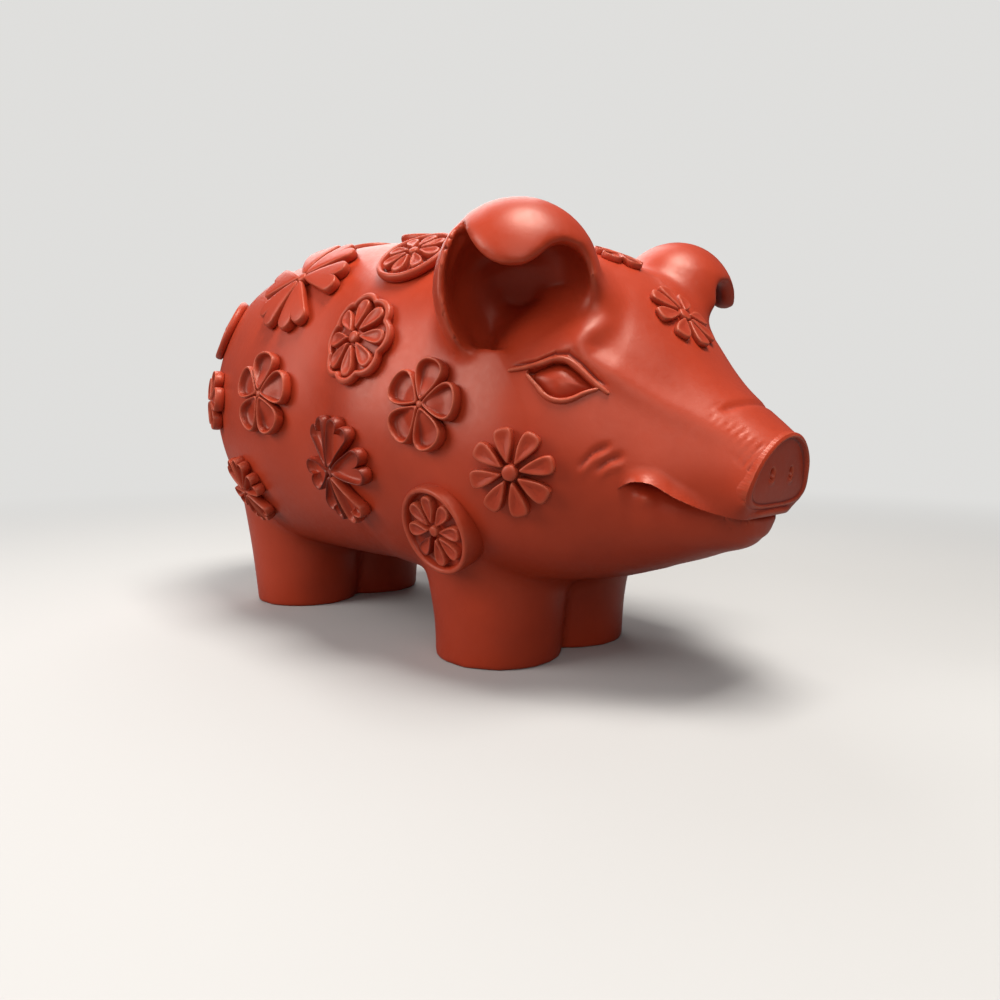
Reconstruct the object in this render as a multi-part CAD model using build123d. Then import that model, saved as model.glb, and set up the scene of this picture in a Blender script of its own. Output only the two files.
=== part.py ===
from build123d import *
import math
import os

# Pig figurine. X runs along the pig towards its nose, Y to its left side, Z up. Millimetres and degrees.
# While it is modelled, x is counted from the front legs. At the end the whole pig is moved so that the
# origin lies under the middle of its box, on the surface that it stands on.

# Body
RUMP_REACH = 110.5
NOSE_REACH = 54.6
BELLY_HEIGHT = 15.0
BACK_HEIGHT = 93.5
BODY_WIDTH = 76.0
AXIS_HEIGHT = 55.0
SECTION_FULLNESS = 2.3
SECTION_POINTS = 10

# Legs
LEG_SPAN = 77.0
LEG_SPREAD = 22.0
SOLE_DIAMETER = 27.0
SHANK_HEIGHT = 16.0
SHANK_DIAMETER = 30.0
HAUNCH_HEIGHT = 36.0
FRONT_HAUNCH_DIAMETER = 40.0
REAR_HAUNCH_DIAMETER = 31.0
HAUNCH_SPREAD = 28.0
LEG_SEAM = 0.3

# Snout
NOSE_TILT = 20.0
NOSE_WIDTH = 17.0
NOSE_HEIGHT = 12.0
NOSE_RISE = 5.6
NOSE_THICKNESS = 2.2
NOSE_RIM = 1.3
NOSE_RECESS = 0.7
NOSTRIL_DIAMETER = 2.2
NOSTRIL_SPACING = 6.0
MOUTH_GAP = 1.2
MOUTH_DEPTH = 2.0
MOUTH_CORNER = 40.0
MOUTH_CORNER_HEIGHT = 39.5
MOUTH_SAG = 1.5
MOUTH_BEND = 3.0
MOUTH_LOW_HEIGHT = 34.0
MOUTH_OVERRUN = 8.0
MOUTH_FRONT_HEIGHT = 35.0

# Ears
EAR_POSITION = 18.5
EAR_ELEVATION = 36.0
EAR_LIFT = 0.6
EAR_WIDTH = 29.5
EAR_HEIGHT = 30.5
EAR_DEPTH = 27.0
EAR_BOWL_DEPTH = 22.0
EAR_WALL = 2.2
EAR_TURN = 42.0
EAR_NOD = 6.0

# Eyes
EYE_POSITION = 29.6
EYE_ELEVATION = 2.0
EYE_LENGTH = 15.0
EYE_OPENING = 7.0
EYE_SLANT = -11.0
LID_WIDTH = 1.3
LID_HEIGHT = 0.9
EYE_BULGE = 0.7

# Tail
TAIL_CURL = 11.0
TAIL_THICKNESS = 4.0
TAIL_HEIGHT = 3.0

# Flower sprigs
PETAL_HEIGHT = 2.0
FLOOR_HEIGHT = 0.8
RIM_WIDTH = 1.3
SPRIG_ROOT = 10.0
SPRIG_MARGIN = 3.0

# Medallion that stands upright on the shoulder, over the front leg
LEG_MEDALLION_PLACE = 5.4
LEG_MEDALLION_REACH = 34.0
LEG_MEDALLION_HEIGHT = 29.0
LEG_MEDALLION_LEAN = 17.0
LEG_MEDALLION_DIAMETER = 18.0

# Flowers laid on the skin: place on the pig, form, distance ahead of the front legs, elevation seen from the
# axis, diameter and turn. Those of the flank are on both sides, and those of the ridge on the middle plane.
FLANK_FLOWERS = [
    ("haunch", "heart_flower", -45.0, 43.0, 27.0, 10.0),
    ("loin", "scalloped_medallion", -14.5, 17.0, 19.4, 0.0),
    ("shoulder", "medallion", -11.0, 50.0, 17.0, 0.0),
    ("haunch", "plum_blossom", -48.0, 1.0, 19.0, 18.0),
    ("shoulder", "plum_blossom", 4.5, -4.0, 17.5, 18.0),
    ("flank", "heart_flower", -20.0, -22.0, 23.0, 12.0),
    ("cheek", "daisy", 24.3, -23.5, 15.0, 10.0),
    ("rump", "medallion", -90.0, 38.0, 17.0, 0.0),
    ("rump", "plum_blossom", -82.0, 0.0, 16.0, 0.0),
    ("thigh", "heart_flower", -64.0, -33.0, 18.0, 0.0),
]
RIDGE_FLOWERS = [
    ("back", "medallion", -58.0, 90.0, 18.0, 0.0),
    ("withers", "medallion", -34.0, 90.0, 15.0, 0.0),
    ("crown", "plum_blossom", 22.0, 90.0, 11.0, 0.0),
    ("forehead", "daisy", 37.0, 90.0, 15.0, 0.0),
]

# Sections of the body from rump to nose. Each row gives the place as a share of the reach behind or ahead of
# the front legs, the underside and the top as shares of the height of the trunk, the width as a share of the
# body's, the height of the widest place within the section, and the share of the tilt of the nose.
REAR_SECTIONS = [
    (1.000, 0.470, 0.570, 0.12, 0.50, 0.0),
    (0.982, 0.360, 0.690, 0.31, 0.50, 0.0),
    (0.938, 0.260, 0.790, 0.50, 0.50, 0.0),
    (0.866, 0.153, 0.885, 0.69, 0.48, 0.0),
    (0.768, 0.065, 0.950, 0.83, 0.46, 0.0),
    (0.625, 0.012, 0.985, 0.95, 0.45, 0.0),
    (0.429, 0.000, 1.000, 1.00, 0.45, 0.0),
    (0.214, 0.000, 0.972, 0.974, 0.44, 0.0),
]
FRONT_SECTIONS = [
    (0.000, 0.000, 0.935, 0.934, 0.42, 0.0),
    (0.263, 0.019, 0.885, 0.895, 0.40, 0.0),
    (0.491, 0.051, 0.812, 0.790, 0.38, 0.0),
    (0.667, 0.089, 0.695, 0.618, 0.38, 0.0),
    (0.807, 0.120, 0.566, 0.470, 0.40, 0.1),
    (0.912, 0.143, 0.482, 0.355, 0.42, 0.5),
    (1.000, 0.158, 0.425, 0.290, 0.46, 1.0),
]


def section_plane(x, tilt, height):
    """Plane across the pig at x, its top leaning forward by the tilt."""
    lean = math.radians(tilt)
    return Plane(origin=(x, 0, height), x_dir=(0, 1, 0), z_dir=(math.cos(lean), 0, -math.sin(lean)))


def section_levels(row, inset=0.0):
    """Underside, widest level and top of a section of the body."""
    trunk = BACK_HEIGHT - BELLY_HEIGHT
    bottom = BELLY_HEIGHT + row[1] * trunk + inset
    top = BELLY_HEIGHT + row[2] * trunk - inset
    return bottom, bottom + row[4] * (top - bottom), top


def round_power(value):
    """Sine or cosine drawn out towards a fuller oval."""
    return math.copysign(abs(value) ** (2 / SECTION_FULLNESS), value) if abs(value) > 1e-9 else 0.0


def body_section(x, row, inset):
    """One closed section of the body, drawn inwards by the inset."""
    bottom, middle, top = section_levels(row, inset)
    half_width = row[3] * BODY_WIDTH / 2 - inset
    points = []
    for index in range(SECTION_POINTS):
        angle = 2 * math.pi * index / SECTION_POINTS - math.pi / 2
        reach = top - middle if math.sin(angle) > 0 else middle - bottom
        points.append((half_width * round_power(math.cos(angle)), reach * round_power(math.sin(angle))))
    outline = Spline(*points, periodic=True)
    return section_plane(x, row[5] * NOSE_TILT, middle) * make_face(outline)


def right_half(shape, gap=0.0):
    """The part of a shape on the right of the pig's middle plane, short of it by half the gap."""
    length = 2 * (RUMP_REACH + NOSE_REACH)
    room = Box(length, BODY_WIDTH, 2 * BACK_HEIGHT, align=(Align.CENTER, Align.MAX, Align.CENTER))
    return shape & (Pos(0, -gap / 2, 0) * room)


def whole(half):
    """A right half joined to its mirror image."""
    return half + mirror(half, about=Plane.XZ)


def half_body():
    """Right half of the smooth form of trunk, neck and head."""
    sections = [body_section(-row[0] * RUMP_REACH, row, 0.0) for row in REAR_SECTIONS]
    sections += [body_section(row[0] * NOSE_REACH, row, 0.0) for row in FRONT_SECTIONS]
    return right_half(loft(sections))


def mouth_cut():
    """Slit along the mouth line, as deep as the lips stand out from the jaw."""
    line = Spline(
        (MOUTH_CORNER, MOUTH_CORNER_HEIGHT),
        ((MOUTH_CORNER + NOSE_REACH) / 2, (MOUTH_CORNER_HEIGHT + MOUTH_LOW_HEIGHT) / 2 - MOUTH_SAG),
        (NOSE_REACH - MOUTH_BEND, MOUTH_LOW_HEIGHT),
        (NOSE_REACH + MOUTH_OVERRUN, MOUTH_FRONT_HEIGHT),
    )
    blade = extrude(Plane.XZ * trace(line, MOUTH_GAP), amount=BODY_WIDTH / 2, both=True)
    core = loft([body_section(row[0] * NOSE_REACH - MOUTH_DEPTH, row, MOUTH_DEPTH) for row in FRONT_SECTIONS])
    return blade - core


def leg(x, haunch):
    """Right leg at x, flaring from a flat sole into the haunch, straight on its inner side."""
    levels = [
        (0.0, SOLE_DIAMETER, LEG_SPREAD),
        (SHANK_HEIGHT, SHANK_DIAMETER, LEG_SPREAD),
        (HAUNCH_HEIGHT, haunch, HAUNCH_SPREAD),
    ]
    rings = [Pos(x, -spread / 2, z) * Circle(across / 2) for z, across, spread in levels]
    return right_half(loft(rings), LEG_SEAM)


def skin_seat(skin, x, elevation, turn=0.0):
    """Plane that touches the skin where a ray from the pig's axis leaves it on the right side.

    The elevation is counted from level, so that 90 degrees is the top of the back.
    """
    up = math.radians(elevation)
    start = Vector(x, 0, AXIS_HEIGHT)
    way = Vector(0, -math.cos(up), math.sin(up))
    hits = skin.find_intersection_points(Axis(start, way))
    point, normal = max(hits, key=lambda hit: (hit[0] - start).dot(way))
    if normal.dot(way) < 0:
        normal = -normal
    along = Vector(1, 0, 0) - normal * normal.X
    return Plane(origin=point, x_dir=along, z_dir=normal).rotated((0, 0, turn))


def relief(skin, seat, outline, height, recess=None):
    """Raised piece on the skin: the outline pressed out to a height, with a recess down to its floor."""
    box = outline.bounding_box()
    reach = max(box.max.X, box.max.Y, -box.min.X, -box.min.Y) + SPRIG_MARGIN
    root = seat.offset(-SPRIG_ROOT)
    tall = 2 * SPRIG_ROOT
    plug = skin & extrude(root * Circle(reach), amount=tall)
    piece = (extrude(root * outline, amount=tall) & (Pos(seat.z_dir * height) * plug)) - plug
    if recess is not None:
        piece -= extrude(root * recess, amount=tall) - Pos(seat.z_dir * FLOOR_HEIGHT) * plug
    return piece


def teardrop(radius, root, width):
    """Petal that widens from its root to a round end."""
    shoulder = radius - width / 2
    edges = Line((root, 0), (shoulder, -width / 2))
    edges += ThreePointArc((shoulder, -width / 2), (radius, 0), (shoulder, width / 2))
    edges += Line((shoulder, width / 2), (root, 0))
    return make_face(edges)


def heart_petal(radius, root):
    """Petal that ends in two lobes with a notch between them."""
    side = (0.66 * radius, 0.27 * radius)
    lobe = (0.98 * radius, 0.16 * radius)
    notch = (0.87 * radius, 0)
    edges = Line((root, 0), (side[0], -side[1]))
    edges += ThreePointArc((side[0], -side[1]), (lobe[0], -lobe[1]), notch)
    edges += ThreePointArc(notch, lobe, side)
    edges += Line(side, (root, 0))
    return make_face(edges)


def heart_flower(diameter):
    """Six two-lobed petals round a small boss."""
    radius = diameter / 2
    return Sketch() + PolarLocations(0, 6) * heart_petal(radius, 0.04 * radius) + Circle(0.14 * radius), None


def plum_blossom(diameter):
    """Five round cupped petals."""
    radius = diameter / 2
    outline = Sketch() + PolarLocations(0.64 * radius, 5) * Circle(0.37 * radius) + Circle(0.4 * radius)
    cups = Sketch() + PolarLocations(0.66 * radius, 5) * Circle(0.24 * radius)
    return outline, cups


def daisy(diameter):
    """Eight free petals round a boss."""
    radius = diameter / 2
    petals = PolarLocations(0, 8) * teardrop(radius, 0.05 * radius, 0.42 * radius)
    return Sketch() + petals + Circle(0.24 * radius), None


def rosette(radius):
    """Eight petals and a boss that stand inside a medallion."""
    petals = PolarLocations(0, 8) * teardrop(radius, 0.1 * radius, 0.44 * radius)
    return Sketch() + petals + Circle(0.22 * radius)


def medallion(diameter):
    """Round rim with a rosette on a sunk floor."""
    radius = diameter / 2
    return Sketch() + Circle(radius), Circle(radius - RIM_WIDTH) - rosette(radius - 1.5 * RIM_WIDTH)


def scalloped_medallion(diameter):
    """Rim of eight scallops with a rosette on a sunk floor."""
    radius = diameter / 2
    lobes = PolarLocations(0.70 * radius, 8) * Circle(0.30 * radius)
    floor = 0.72 * radius
    return Sketch() + lobes + Circle(floor), Circle(floor) - rosette(floor - 0.3 * RIM_WIDTH)


def leg_medallion(skin):
    """Right medallion that stands on the shoulder with a flat face, thickest at its foot."""
    lean = math.radians(LEG_MEDALLION_LEAN)
    face = Plane(
        origin=(LEG_MEDALLION_PLACE, -LEG_MEDALLION_REACH, LEG_MEDALLION_HEIGHT),
        x_dir=(1, 0, 0),
        z_dir=(0, -math.cos(lean), -math.sin(lean)),
    )
    outline, recess = medallion(LEG_MEDALLION_DIAMETER)
    disc = extrude(face * outline, amount=-SPRIG_ROOT) - skin
    return disc - extrude(face * recess, amount=FLOOR_HEIGHT - PETAL_HEIGHT)


def eye_shapes():
    """Almond of the eyeball, and the bands of the upper and the lower lid round it."""
    half = EYE_LENGTH / 2
    rise = EYE_OPENING / 2

    def almond(grow):
        edge = ThreePointArc((-half - grow, 0), (0, rise + grow), (half + grow, 0))
        edge += ThreePointArc((half + grow, 0), (0, -rise - grow), (-half - grow, 0))
        return make_face(edge)

    band = almond(LID_WIDTH) - almond(0)
    above = Pos(0, EYE_LENGTH / 2) * Rectangle(2 * EYE_LENGTH, EYE_LENGTH)
    return almond(0), band & above, band - above


def nose_outline(inset):
    """Rounded snout plate, broad below and narrower above."""
    half = NOSE_WIDTH / 2 - inset
    low = -NOSE_HEIGHT / 2 + inset
    high = NOSE_HEIGHT / 2 - inset
    points = [(0, low), (0.68 * half, 0.85 * low), (half, 0.25 * low), (0.78 * half, 0.5 * high), (0, high)]
    points += [(-across, up) for across, up in points[3:0:-1]]
    return make_face(Spline(*points, periodic=True))


def nose_plate():
    """Snout plate with a raised rim and two nostrils, seated on the end of the snout."""
    middle = section_levels(FRONT_SECTIONS[-1])[1]
    end = section_plane(NOSE_REACH, NOSE_TILT, middle)
    seat = Plane(origin=end.from_local_coords((0, NOSE_RISE, 0)), x_dir=end.x_dir, z_dir=end.z_dir)
    plate = extrude(seat * nose_outline(0), amount=NOSE_THICKNESS)
    face = seat.offset(NOSE_THICKNESS - NOSE_RECESS)
    plate -= extrude(face * nose_outline(NOSE_RIM), amount=2 * NOSE_RECESS)
    nostrils = Locations((-NOSTRIL_SPACING / 2, 0), (NOSTRIL_SPACING / 2, 0)) * Circle(NOSTRIL_DIAMETER / 2)
    return plate - extrude(face * (Sketch() + nostrils), amount=-NOSE_RECESS)


def ear_frame(skin):
    """Plane in the middle of the right ear, facing out of its opening."""
    seat = skin_seat(skin, EAR_POSITION, EAR_ELEVATION)
    turn = math.radians(EAR_TURN)
    nod = math.radians(EAR_NOD)
    facing = Vector(math.sin(turn) * math.cos(nod), -math.cos(turn) * math.cos(nod), -math.sin(nod))
    centre = seat.origin + seat.z_dir * EAR_LIFT
    return Plane(origin=centre, x_dir=(math.cos(turn), math.sin(turn), 0), z_dir=facing)


def ear_dome(frame, inset, depth):
    """Rounded form of an ear, drawn inwards by the inset."""
    half = (EAR_WIDTH / 2 - inset, EAR_HEIGHT / 2 - inset, depth / 2 - inset)
    return frame * scale(Sphere(1), by=half)


def ear(frame, skin):
    """Right ear: a hood with a folded flap over its opening, standing on the head."""
    wide = EAR_WIDTH / 2
    high = EAR_HEIGHT / 2
    flap = Spline(
        (-0.62 * wide, 0.80 * high),
        (-0.50 * wide, 0.54 * high),
        (-0.15 * wide, 0.24 * high),
        (0.16 * wide, 0.27 * high),
        (0.44 * wide, 0.46 * high),
        (0.68 * wide, 0.44 * high),
        (0.86 * wide, 0.10 * high),
    )
    rim = Spline(
        (0.86 * wide, 0.10 * high),
        (0.75 * wide, -0.60 * high),
        (0.0, -1.10 * high),
        (-0.75 * wide, -0.50 * high),
        (-0.85 * wide, 0.30 * high),
        (-0.62 * wide, 0.80 * high),
    )
    opening = extrude(frame * make_face(flap + rim), amount=EAR_DEPTH)
    return ear_dome(frame, 0, EAR_DEPTH) - ear_dome(frame, EAR_WALL, EAR_DEPTH) - opening - skin


def tail(skin):
    """Curl that lies on the rump."""
    seat = Plane(origin=(-RUMP_REACH, 0, AXIS_HEIGHT), x_dir=(0, 1, 0), z_dir=(-1, 0, 0))
    curl = CenterArc((0, 0), TAIL_CURL / 2, -60, 300)
    return relief(skin, seat, Sketch() + trace(curl, TAIL_THICKNESS), TAIL_HEIGHT)


def both_sides(name, shape):
    """The right piece and its mirror image on the left side."""
    return {f"{name}_right": shape, f"{name}_left": mirror(shape, about=Plane.XZ)}


def build():
    """All pieces by name, in the frame of the front legs."""
    half = half_body()
    form = whole(half)
    right_legs = {
        "leg_front": leg(0.0, FRONT_HAUNCH_DIAMETER),
        "leg_rear": leg(-LEG_SPAN, REAR_HAUNCH_DIAMETER),
    }
    skin = half
    for raw in right_legs.values():
        skin = skin + raw
    frame = ear_frame(half)
    bowl = ear_dome(frame, EAR_WALL, EAR_BOWL_DEPTH)
    pieces = {"body": whole(half - mouth_cut() - bowl), "nose_plate": nose_plate(), "tail": tail(form)}
    for name, raw in right_legs.items():
        pieces.update(both_sides(name, raw - half))
    pieces.update(both_sides("ear", ear(frame, half)))
    eye_seat = skin_seat(half, EYE_POSITION, EYE_ELEVATION, EYE_SLANT)
    ball, upper, lower = eye_shapes()
    pieces.update(both_sides("eye", relief(half, eye_seat, ball, EYE_BULGE)))
    pieces.update(both_sides("upper_eyelid", relief(half, eye_seat, upper, LID_HEIGHT)))
    pieces.update(both_sides("lower_eyelid", relief(half, eye_seat, lower, LID_HEIGHT)))
    flowers = {drawn.__name__: drawn for drawn in (heart_flower, scalloped_medallion, medallion, plum_blossom, daisy)}
    for place, flower, x, elevation, across, turn in FLANK_FLOWERS:
        outline, recess = flowers[flower](across)
        seat = skin_seat(skin, x, elevation, turn)
        pieces.update(both_sides(f"{place}_{flower}", relief(skin, seat, outline, PETAL_HEIGHT, recess)))
    for place, flower, x, elevation, across, turn in RIDGE_FLOWERS:
        outline, recess = flowers[flower](across)
        seat = skin_seat(form, x, elevation, turn)
        pieces[f"{place}_{flower}"] = relief(form, seat, outline, PETAL_HEIGHT, recess)
    pieces.update(both_sides("leg_medallion", leg_medallion(skin)))
    return pieces


def centred(pieces):
    """The pieces moved so that the origin lies under the middle of the pig's box."""
    boxes = [shape.bounding_box() for shape in pieces.values()]
    rear = min(box.min.X for box in boxes)
    front = max(box.max.X for box in boxes)
    move = Pos(-(rear + front) / 2, 0, -min(box.min.Z for box in boxes))
    return {name: move * shape for name, shape in pieces.items()}


os.makedirs("parts", exist_ok=True)
for piece_name, piece_shape in centred(build()).items():
    export_step(piece_shape, f"parts/{piece_name}.step")
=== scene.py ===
"""Looks of a carved cinnabar pig figurine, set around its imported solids.

The hide is one smooth skin over trunk, head, legs, ears and nose. The eyes, tail and
flower sprigs are pieces of their own, laid on that skin.
"""

import logging
import math
from bisect import bisect
from collections.abc import Callable, Sequence
from dataclasses import dataclass
from enum import Enum

import bmesh
import bpy
import numpy as np
from mathutils import Matrix, Vector, noise
from mathutils.bvhtree import BVHTree


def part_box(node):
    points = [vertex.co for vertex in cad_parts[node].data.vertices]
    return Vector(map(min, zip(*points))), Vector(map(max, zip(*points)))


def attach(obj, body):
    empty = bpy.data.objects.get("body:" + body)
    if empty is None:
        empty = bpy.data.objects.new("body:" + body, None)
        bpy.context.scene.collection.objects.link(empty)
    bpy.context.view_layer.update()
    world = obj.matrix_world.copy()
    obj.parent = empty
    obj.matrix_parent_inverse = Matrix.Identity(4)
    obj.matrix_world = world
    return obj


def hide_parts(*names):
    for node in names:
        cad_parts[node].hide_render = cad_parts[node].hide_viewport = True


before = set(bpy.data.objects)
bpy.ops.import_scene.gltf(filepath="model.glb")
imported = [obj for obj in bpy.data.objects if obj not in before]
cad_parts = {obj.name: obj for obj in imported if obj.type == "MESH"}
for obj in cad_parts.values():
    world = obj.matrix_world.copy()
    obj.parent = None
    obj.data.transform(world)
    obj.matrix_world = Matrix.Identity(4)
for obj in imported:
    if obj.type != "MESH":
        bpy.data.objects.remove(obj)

LOG = logging.getLogger("pig")
MM = 0.001
SIDES = ("right", "left")
RELIEF = "relief"
SHARPEST_EDGE = 0.5 * MM
STANDING = "leg_medallion"
STANDING_LEAN = 17.0
STANDING_SINK = 2 * MM
STANDING_ROOT = -10 * MM

Outline = Sequence[tuple[float, float]]
Steps = Sequence[tuple[float, float]]


class Form(Enum):
    """The kinds of flower, by the words that end their nodes' names."""

    SCALLOPED = "scalloped_medallion"
    MEDALLION = "medallion"
    PLUM = "plum_blossom"
    HEART = "heart_flower"
    DAISY = "daisy"


def ease(low: float, high: float, value: float) -> float:
    """Returns how far value is from low to high, from 0 to 1 with soft ends."""
    share = min(max((value - low) / (high - low), 0.0), 1.0)
    return share * share * (3 - 2 * share)


class Curve:
    """A smooth line through points, read by its first coordinate."""

    def __init__(self, points: Outline) -> None:
        """Works out the slope at each point.

        Args:
            points: The points in order of their first coordinate.
        """
        self.xs = [float(x) for x, _ in points]
        self.ys = [float(y) for _, y in points]
        self.slopes = [float(slope) for slope in np.gradient(self.ys, self.xs)]

    def at(self, x: float) -> float:
        """Reads the line's height, level beyond its ends.

        Args:
            x: The first coordinate.

        Returns:
            The height there.
        """
        x = min(max(x, self.xs[0]), self.xs[-1])
        start = min(max(bisect(self.xs, x) - 1, 0), len(self.xs) - 2)
        span = self.xs[start + 1] - self.xs[start]
        share = (x - self.xs[start]) / span
        rest = 1 - share
        low, high = self.ys[start], self.ys[start + 1]
        ends = rest * rest * (1 + 2 * share) * low + share * share * (3 - 2 * share) * high
        bows = share * rest * rest * self.slopes[start] - share * share * rest * self.slopes[start + 1]
        return ends + span * bows


def shaped(obj: bpy.types.Object) -> bpy.types.Mesh:
    """Applies an object's modifiers.

    Args:
        obj: The object, which stays as it is.

    Returns:
        A new mesh of its final shape.
    """
    bpy.context.view_layer.update()
    depsgraph = bpy.context.evaluated_depsgraph_get()
    return bpy.data.meshes.new_from_object(obj.evaluated_get(depsgraph))


def placed(name: str, data: bpy.types.ID) -> bpy.types.Object:
    """Puts a new object in the scene, at the origin.

    Args:
        name: The object's name.
        data: Its mesh, curve, light or camera.

    Returns:
        The object.
    """
    obj = bpy.data.objects.new(name, data)
    bpy.context.scene.collection.objects.link(obj)
    return obj


def mesh_of(bm: bmesh.types.BMesh, name: str) -> bpy.types.Mesh:
    """Writes a bmesh to a new mesh with smooth faces and frees it.

    Args:
        bm: The bmesh, which can't be used afterwards.
        name: The mesh's name.

    Returns:
        The new mesh.
    """
    for face in bm.faces:
        face.smooth = True
    mesh = bpy.data.meshes.new(name)
    bm.to_mesh(mesh)
    bm.free()
    return mesh


def search_tree(*meshes: bpy.types.Mesh) -> BVHTree:
    """Makes a search tree over meshes.

    Args:
        meshes: The meshes, which stay as they are.

    Returns:
        The tree.
    """
    bm = bmesh.new()
    for mesh in meshes:
        bm.from_mesh(mesh)
    tree = BVHTree.FromBMesh(bm)
    bm.free()
    return tree


def rolled(points: Sequence[tuple[float, float, float]], thick: float, resolution: int) -> bmesh.types.BMesh:
    """Rolls a round strand along a flat line.

    Args:
        points: For each point of the line, its two coordinates and its share of the thickness.
        thick: Half the strand's full thickness.
        resolution: How finely the line is divided between two points.

    Returns:
        The closed strand, lying on the plane of x and y.
    """
    curve = bpy.data.curves.new("strand", "CURVE")
    curve.dimensions = "3D"
    curve.bevel_depth = thick
    curve.bevel_resolution = 4
    curve.use_fill_caps = True
    curve.resolution_u = resolution
    spline = curve.splines.new("NURBS")
    spline.points.add(len(points) - 1)
    for point, (x, y, share) in zip(spline.points, points):
        point.co = (x, y, 0, 1)
        point.radius = share
    spline.order_u = 3
    spline.use_endpoint_u = True
    drawn = placed("strand", curve)
    bm = bmesh.new()
    bm.from_mesh(shaped(drawn))
    bpy.data.objects.remove(drawn)
    bmesh.ops.remove_doubles(bm, verts=bm.verts, dist=0.01 * MM)
    return bm


def mark_relief(mesh: bpy.types.Mesh) -> None:
    """Stores on each point how sharply it stands out, from -1 in a crease to 1 on an edge.

    Args:
        mesh: The mesh, which gets a float attribute.
    """
    count = len(mesh.vertices)
    points = np.empty(count * 3)
    mesh.vertices.foreach_get("co", points)
    points = points.reshape(-1, 3)
    normals = np.empty(count * 3)
    mesh.vertex_normals.foreach_get("vector", normals)
    normals = normals.reshape(-1, 3)
    ends = np.empty(len(mesh.edges) * 2, dtype=np.int32)
    mesh.edges.foreach_get("vertices", ends)
    near, far = ends.reshape(-1, 2).T
    step = points[far] - points[near]
    squared = np.maximum((step * step).sum(1), 1e-14)
    bend_near = -2 * (normals[near] * step).sum(1) / squared
    bend_far = 2 * (normals[far] * step).sum(1) / squared
    links = np.maximum(np.bincount(near, minlength=count) + np.bincount(far, minlength=count), 1)
    bend = np.bincount(near, bend_near, count) + np.bincount(far, bend_far, count)
    bend = np.clip(bend / links * SHARPEST_EDGE, -1, 1)
    for _ in range(2):
        around = np.bincount(near, bend[far], count) + np.bincount(far, bend[near], count)
        bend = (bend + around / links) / 2
    attribute = mesh.attributes.new(RELIEF, "FLOAT", "POINT")
    attribute.data.foreach_set("value", bend.astype(np.float32))


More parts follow.
